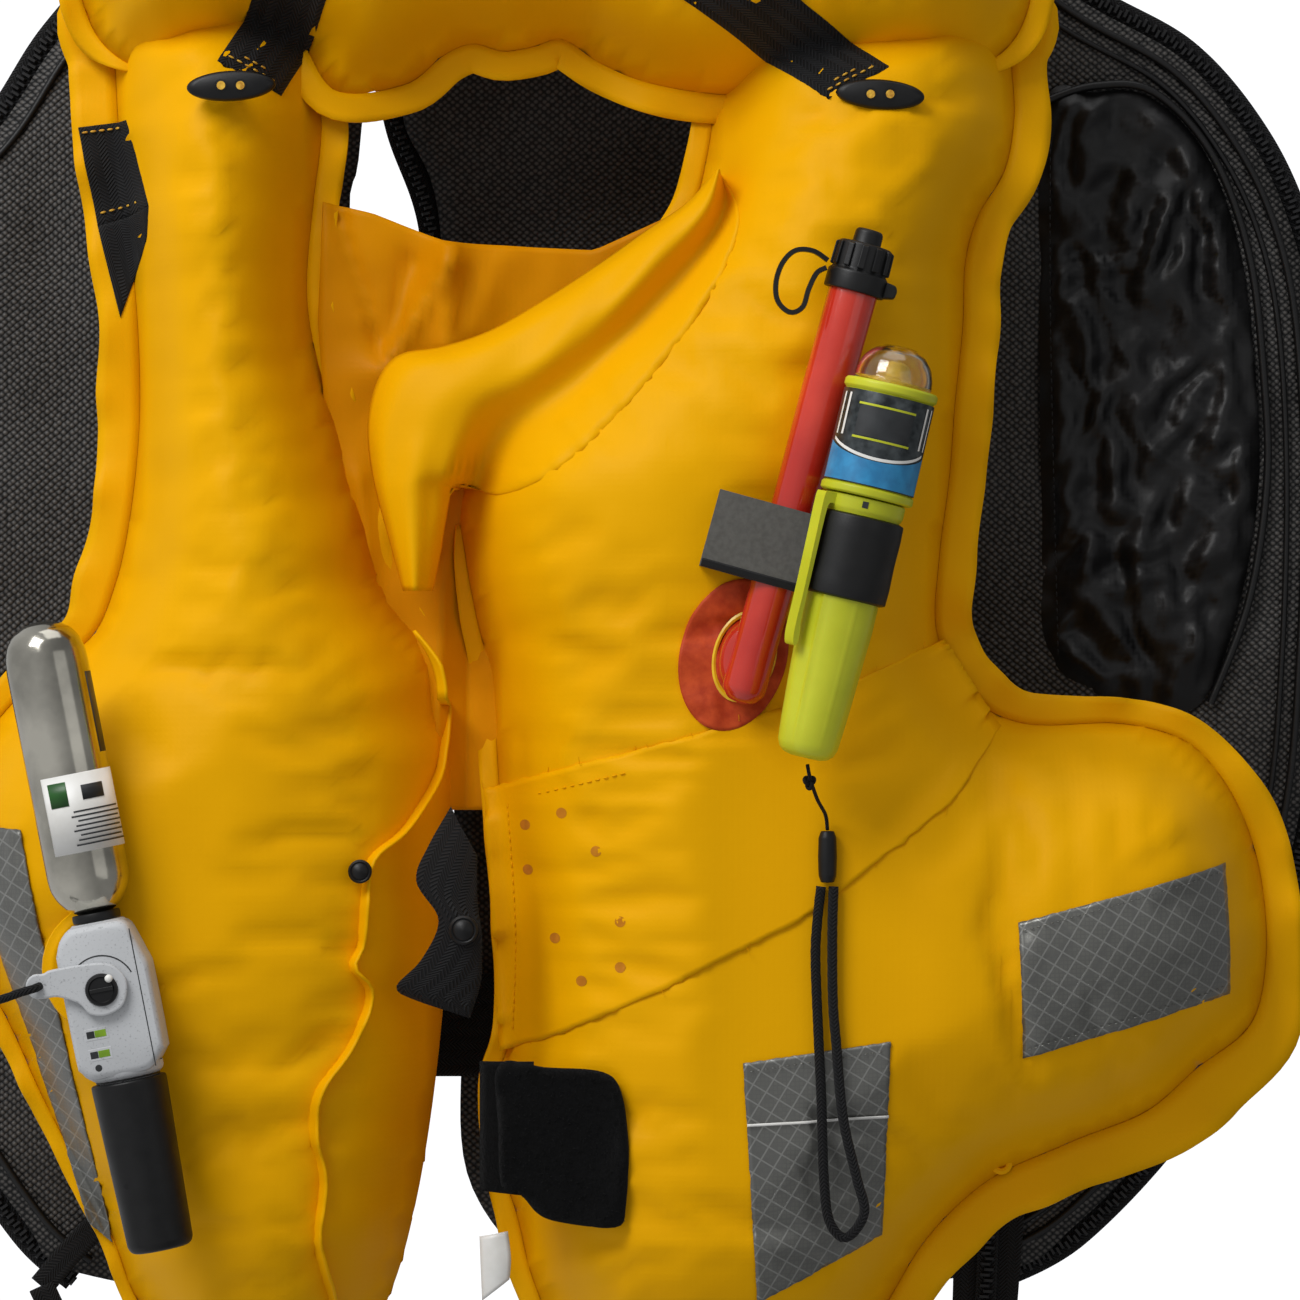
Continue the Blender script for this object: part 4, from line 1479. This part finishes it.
    on_face("inflator_lever_arm", lever, -0.4, 3.3, "grey", "grey_plastic", "lever", ["inflator_lever"],
        0.7)

    def stud(rings, sides, x, z):
        points = [(x + r * math.cos(2 * math.pi * k / sides), -half_d - h,
            z + r * math.sin(2 * math.pi * k / sides)) for r, h in rings for k in range(sides)]
        return standing(points, GAS_TILT, GAS_FOOT), grid_faces(len(rings), sides, True)

    hub = stud(((6.0, 3.0), (6.0, 3.9), (5.6, 4.5), (4.8, 4.7), (4.4, 4.2), (0.05, 4.3)), 48, *LEVER_AT)
    sharp(piece("lever_pivot_hub", *hub, "black", "jacket", "black_plastic", ["lever_hub"]), 40)
    on_face("lever_pivot_slot", [(LEVER_AT[0] - 4.4, LEVER_AT[1] - 0.8),
        (LEVER_AT[0] + 4.4, LEVER_AT[1] - 0.8), (LEVER_AT[0] + 4.4, LEVER_AT[1] + 0.8),
        (LEVER_AT[0] - 4.4, LEVER_AT[1] + 0.8)], -3.9, 4.8, "rubber", "black_plastic", edge=0.2)
    nub = stud(((1.5, 4.0), (1.4, 5.0), (0.8, 5.5), (0.05, 5.6)), 20, LEVER_AT[0] + 3.4, LEVER_AT[1] + 3.6)
    piece("lever_pivot_nub", *nub, "paper", "jacket", "black_plastic")


# ---- cover ----
RIGHT_OUTER = [(120, 128), (170, 104), (217, 70), (257, 47), (284, 15), (300, -20), (308, -60),
    (311, -120), (309, -190), (303, -250), (286, -310), (256, -366), (214, -412), (180, -430)]
LEFT_OUTER = [(-110, 128), (-150, 92), (-184, 55), (-208, 19), (-246, -20), (-270, -66), (-280, -120),
    (-278, -190), (-268, -250), (-252, -310), (-226, -366), (-196, -412), (-176, -430)]
RIGHT_INNER = [(40, -440), (-20, -400), (-26, -320), (-30, -200), (-34, -22), (-50, 31), (-44, 128)]
LEFT_INNER = [(-80, -440), (-48, -400), (-44, -320), (-50, -200), (-66, -60), (-70, -8), (-66, 12),
    (-60, 128)]
NECK_YOKE = [(-106, 130), (-70, 130), (70, 130), (112, 130), (84, 152), (40, 162), (-40, 162), (-80, 152)]
POCKET = [(203, 28), (222, 34), (244, 32), (266, 10), (280, -30), (286, -80), (287, -120), (280, -165),
    (266, -204), (246, -208), (206, -192), (202, -130), (201, -60)]


def cloth_panel(name, points2, cell, depth_at, thickness, finish, slot, nodes):
    """A flat-cut panel of the cover with its own lie, declared with the size it was cut to."""
    outline = curve_through(points2, cell, True)
    flat, depth, _, _, faces = panel_grid(outline[:, :2], cell)
    points = [(x, depth_at(x, z, d), z) for (x, z), d in zip(flat, depth)]
    obj = piece(name, points, faces, finish, "jacket", slot, nodes)
    if thickness:
        thicken(obj, thickness)
    return obj


def zip_chain(name, line, nodes, y=-3.6, tape=5.0):
    """A closed-end zip's chain: moulded teeth on a woven tape, along an edge."""
    pitch = sizes().zip_pitch / MM
    run = curve_through(line, pitch)
    ahead = np.gradient(run, axis=0)
    ahead /= np.linalg.norm(ahead, axis=1)[:, None]
    side = np.stack([-ahead[:, 1], ahead[:, 0]], 1)
    parts = []
    for i, (p, a, s) in enumerate(zip(run, ahead, side)):
        off = s * 0.7 * (1 if i % 2 else -1)
        hw, hl, hy = s * 1.9, a * pitch * 0.34, 1.25
        corners = [p + off - hw - hl, p + off + hw - hl, p + off + hw + hl, p + off - hw + hl]
        small = [p + off + (c - p - off) * 0.72 for c in corners]
        pts = [(c[0], y + hy, c[1]) for c in corners] + [(c[0], y - hy * 0.5, c[1])
            for c in corners] + [(c[0], y - hy, c[1]) for c in small]
        parts.append((pts, grid_faces(3, 4, True) + [(0, 1, 2, 3), (11, 10, 9, 8)]))
    points, faces = merge(parts)
    chain = piece(name, points, faces, "zip", "jacket", "zip_plastic", nodes, smooth=False)
    points = []
    for p, s in zip(run, side):
        for t, lift in ((-tape, 0.6), (-tape * 0.6, 0.9), (0, 1.0), (tape * 0.6, 0.9), (tape, 0.6)):
            q = p + s * t
            points.append((q[0], y + 1.4 - lift * 0.6, q[1]))
    run2 = [((c - 2) * tape / 2 * MM, i * pitch * MM) for i in range(len(run)) for c in range(5)]
    thicken(piece(name + "_tape", points, grid_faces(len(run), 5), "webbing", "jacket", "zip_plastic",
        run=run2), 0.6)
    return chain


def piping(name, line, radius, y):
    run = curve_through(line, 4.0)
    ahead = np.gradient(run, axis=0)
    ahead /= np.linalg.norm(ahead, axis=1)[:, None]
    side = np.stack([-ahead[:, 1], ahead[:, 0]], 1)
    points = [(p[0] + s[0] * radius * math.cos(a), y + radius * math.sin(a),
        p[1] + s[1] * radius * math.cos(a)) for p, s in zip(run, side)
        for a in np.linspace(0, 2 * math.pi, 10, endpoint=False)]
    return piece(name, points, grid_faces(len(run), 10, True), "nylon", "jacket", "spacer_mesh")


def beside(line, gap):
    """The line moved sideways by a gap."""
    out = []
    for i, (x, z) in enumerate(line):
        after, before = line[min(i + 1, len(line) - 1)], line[max(i - 1, 0)]
        apart = math.dist(after, before)
        out.append((x + (after[1] - before[1]) * gap / apart, z - (after[0] - before[0]) * gap / apart))
    return out


def build_cover():
    def wing(seed):
        def depth(x, z, d):
            wave = 3.6 * wobble(x / 48, z / 60, seed=seed) + 1.8 * wobble(x / 18, z / 26, seed=seed + 1)
            return -3.6 - 1.2 * min(d / 12, 1) + wave * min(d / 14, 1)
        return depth

    cloth_panel("cover_right_wing", RIGHT_OUTER + RIGHT_INNER, 6.5, wing(51), 2.6, "spacer", "spacer_mesh",
        ["cover_right"])
    cloth_panel("cover_left_wing", LEFT_OUTER + LEFT_INNER, 6.5, wing(57), 2.6, "spacer", "spacer_mesh",
        ["cover_left"])
    cloth_panel("cover_neck_yoke", NECK_YOKE, 6.0, wing(61), 2.6, "spacer", "spacer_mesh", ["cover_neck"])

    def crumple(x, z, d):
        """Flat facets between sharp creases, as thin stiff cloth crumples."""
        rise = 0.0
        for pitch, slant, high, seed in ((26, 0.42, 8.0, 72), (17, -0.35, 4.6, 73), (11, 1.1, 2.2, 74),
                (31, -1.6, 4.0, 77)):
            warp = 0.9 * wobble(x / 38, z / 46, seed=seed) + 0.35 * wobble(x / 14, z / 18, seed=seed + 9)
            phase = (x + slant * z) / pitch + warp
            bulge = max(wobble(x / 30, z / 44, seed=seed + 20) + 0.3, 0)
            rise += high * abs(2 * (phase % 1.0) - 1) * (0.55 + 0.9 * bulge)
        top = math.exp(-max(32 - z, 0) / 16)
        gather = 1.1 * abs(math.sin((x + 0.25 * z) / 2.7 + 2 * wobble(z / 20, seed=75))) * top
        return -7.0 - (rise * 0.75 + gather) * min(d / 8, 1)

    cloth_panel("pocket_crumpled_nylon", POCKET, 2.3, crumple, 0, "nylon", "gloss_nylon", ["pocket_right"])
    zip_chain("zip_right_chain", beside(RIGHT_OUTER, -3.5), ["zip_right"])
    zip_chain("zip_left_chain", beside(LEFT_OUTER, 3.5), ["zip_left"])
    zip_chain("zip_neck_chain", [(-53, 110), (-53, 31), (-37.5, -22), (-33.5, -110), (-32.5, -200)],
        ["zip_neck"])
    piping("cover_right_piping", beside(RIGHT_OUTER, 6), 1.5, -7.0)
    piping("cover_right_piping_inner", beside(RIGHT_OUTER, 13), 1.2, -7.2)
    piping("cover_left_piping", beside(LEFT_OUTER, -7), 1.5, -7.0)
    piping("pocket_edge_binding", [(203, 30), (222, 36), (245, 34), (268, 10), (283, -30), (289, -80),
        (290, -120), (283, -166), (268, -206)], 1.6, -9.0)
    stitches("pocket_stitching", [[(205, -11.2, 24), (205, -11.2, -60), (208, -11.2, -188)]], "zip", 3.2,
        2.2, 0.3)


def build_belt():
    wave = lambda x: 1.4 * math.sin(x / 30)
    rows = [((x, -13 + wave(x), -312), (x, -13 + wave(x), -352)) for x in range(-186, 215, 25)]
    ribbon("waist_belt_web", rows, 14, 2.2, "webbing", "jacket", "webbing", ["belt"], 4.0)
    loop = [(-190, -434), (-176, -418), (-160, -405), (-151, -424), (-152, -446), (-168, -458),
        (-182, -449), (-190, -434)]
    line = curve_through([(x, -15 - 1.5 * math.sin(i), z) for i, (x, z) in enumerate(loop)], 3)
    rows = []
    for i, p in enumerate(line):
        a = line[min(i + 1, len(line) - 1)] - line[max(i - 1, 0)]
        s = np.array([-a[2], 0, a[0]]) / np.hypot(a[0], a[2]) * 5.0
        rows.append((tuple(p - s), tuple(p + s)))
    ribbon("strap_loop_web", rows, 6, 2.2, "webbing", "jacket", "webbing", ["strap_loop_left"], 3.0)
    ribbon("strap_low_web", [((168, -9, -392), (196, -9, -392)), ((167, -10, -430), (193, -10, -430)),
        ((166, -9, -470), (190, -9, -470))], 10, 2.2, "webbing", "jacket", "webbing", ["strap_right_low"])
    zip_chain("strap_low_zip", [(181, -400), (180, -430), (178, -466)], [], y=-13.4, tape=4.0)


def finish_small_parts():
    """Small rigid parts that keep their frame shape get their finish."""
    for node, finish in (("valve_insert", "black"), ("valve_plunger", "black"), ("capsule_seal", "rubber"),
            ("piercing_pin", "steel"), ("indicator", "window")):
        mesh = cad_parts[node].data
        mesh.materials.clear()
        mesh.materials.append(FINISH[finish])
        add_modifier(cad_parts[node], "BEVEL", width=0.0002, segments=2, limit_method="ANGLE",
            angle_limit=math.radians(50))


# ---- operators ----
class JACKET_OT_finishes(bpy.types.Operator):
    """Makes the materials"""

    bl_idname = "jacket.finishes"
    bl_label = "Finishes"

    def execute(self, context):
        finishes()
        return {"FINISHED"}


class JACKET_OT_camera(bpy.types.Operator):
    """Sets up the camera"""

    bl_idname = "jacket.camera"
    bl_label = "Camera"

    def execute(self, context):
        build_camera()
        return {"FINISHED"}


class JACKET_OT_stage(bpy.types.Operator):
    """White light tent and its lights"""

    bl_idname = "jacket.stage"
    bl_label = "Stage"

    def execute(self, context):
        build_stage()
        return {"FINISHED"}


class JACKET_OT_cords(bpy.types.Operator):
    """Wrist lanyard and pull cord"""

    bl_idname = "jacket.cords"
    bl_label = "Cords"

    def execute(self, context):
        build_cords()
        return {"FINISHED"}


class JACKET_OT_bladder(bpy.types.Operator):
    """Lobes, collar, welded edges and the slack cloth between the lobes"""

    bl_idname = "jacket.bladder"
    bl_label = "Bladder"

    def execute(self, context):
        build_bladder()
        return {"FINISHED"}


class JACKET_OT_tapes(bpy.types.Operator):
    """Reflective tape on the lobes"""

    bl_idname = "jacket.tapes"
    bl_label = "Reflective tapes"

    def execute(self, context):
        build_tapes()
        return {"FINISHED"}


class JACKET_OT_tube(bpy.types.Operator):
    """Oral inflation tube, its cap and the elastic holder"""

    bl_idname = "jacket.tube"
    bl_label = "Oral tube"

    def execute(self, context):
        build_tube()
        return {"FINISHED"}


class JACKET_OT_band(bpy.types.Operator):
    """Cloth band over the right lobe, with its holes and frayed edge"""

    bl_idname = "jacket.band"
    bl_label = "Band"

    def execute(self, context):
        build_band()
        return {"FINISHED"}


class JACKET_OT_webbing(bpy.types.Operator):
    """Hood straps, toggles, tabs, studs and welded rings"""

    bl_idname = "jacket.webbing"
    bl_label = "Webbing"

    def execute(self, context):
        build_webbing_pieces()
        return {"FINISHED"}


class JACKET_OT_tab(bpy.types.Operator):
    """Hook-and-loop tab and the care label"""

    bl_idname = "jacket.tab"
    bl_label = "Tab"

    def execute(self, context):
        build_tab()
        return {"FINISHED"}


class JACKET_OT_strobe(bpy.types.Operator):
    """Strobe light with its clip, head and dome"""

    bl_idname = "jacket.strobe"
    bl_label = "Strobe light"

    def execute(self, context):
        build_strobe()
        return {"FINISHED"}


class JACKET_OT_gas(bpy.types.Operator):
    """Gas cylinder, inflator, lever and capsule"""

    bl_idname = "jacket.gas"
    bl_label = "Gas inflator"

    def execute(self, context):
        build_gas()
        return {"FINISHED"}


class JACKET_OT_cover(bpy.types.Operator):
    """Folded-back cover with its zips and pocket"""

    bl_idname = "jacket.cover"
    bl_label = "Cover"

    def execute(self, context):
        build_cover()
        return {"FINISHED"}


class JACKET_OT_belt(bpy.types.Operator):
    """Waist belt and low straps"""

    bl_idname = "jacket.belt"
    bl_label = "Belt"

    def execute(self, context):
        build_belt()
        return {"FINISHED"}


class JACKET_OT_small_parts(bpy.types.Operator):
    """Finishes on the small parts kept from the frame"""

    bl_idname = "jacket.small_parts"
    bl_label = "Small parts"

    def execute(self, context):
        finish_small_parts()
        return {"FINISHED"}


OPERATORS = [
    JACKET_OT_finishes,
    JACKET_OT_camera,
    JACKET_OT_stage,
    JACKET_OT_cords,
    JACKET_OT_bladder,
    JACKET_OT_tapes,
    JACKET_OT_tube,
    JACKET_OT_band,
    JACKET_OT_webbing,
    JACKET_OT_tab,
    JACKET_OT_strobe,
    JACKET_OT_gas,
    JACKET_OT_cover,
    JACKET_OT_belt,
    JACKET_OT_small_parts,
]


class JACKET_PT_panel(bpy.types.Panel):
    """Lists the parts of the life jacket"""

    bl_label = "Life jacket"
    bl_idname = "JACKET_PT_panel"
    bl_space_type = "VIEW_3D"
    bl_region_type = "UI"
    bl_category = "Life jacket"

    def draw(self, context):
        for made in OPERATORS:
            self.layout.operator(made.bl_idname)


CLASSES = [JacketSizes, JacketColours, *OPERATORS, JACKET_PT_panel]


def register():
    for made in CLASSES:
        bpy.utils.register_class(made)
    bpy.types.Scene.jacket_sizes = bpy.props.PointerProperty(type=JacketSizes)
    bpy.types.Scene.jacket_colours = bpy.props.PointerProperty(type=JacketColours)


def unregister():
    del bpy.types.Scene.jacket_sizes, bpy.types.Scene.jacket_colours
    for made in reversed(CLASSES):
        bpy.utils.unregister_class(made)


def main():
    register()
    bpy.ops.jacket.finishes()
    bpy.ops.jacket.camera()
    bpy.ops.jacket.stage()
    bpy.ops.jacket.cords()
    bpy.ops.jacket.bladder()
    bpy.ops.jacket.tapes()
    bpy.ops.jacket.tube()
    bpy.ops.jacket.band()
    bpy.ops.jacket.webbing()
    bpy.ops.jacket.tab()
    bpy.ops.jacket.strobe()
    bpy.ops.jacket.gas()
    bpy.ops.jacket.cover()
    bpy.ops.jacket.belt()
    bpy.ops.jacket.small_parts()
    bpy.context.view_layer.update()


if __name__ == "__main__":
    main()
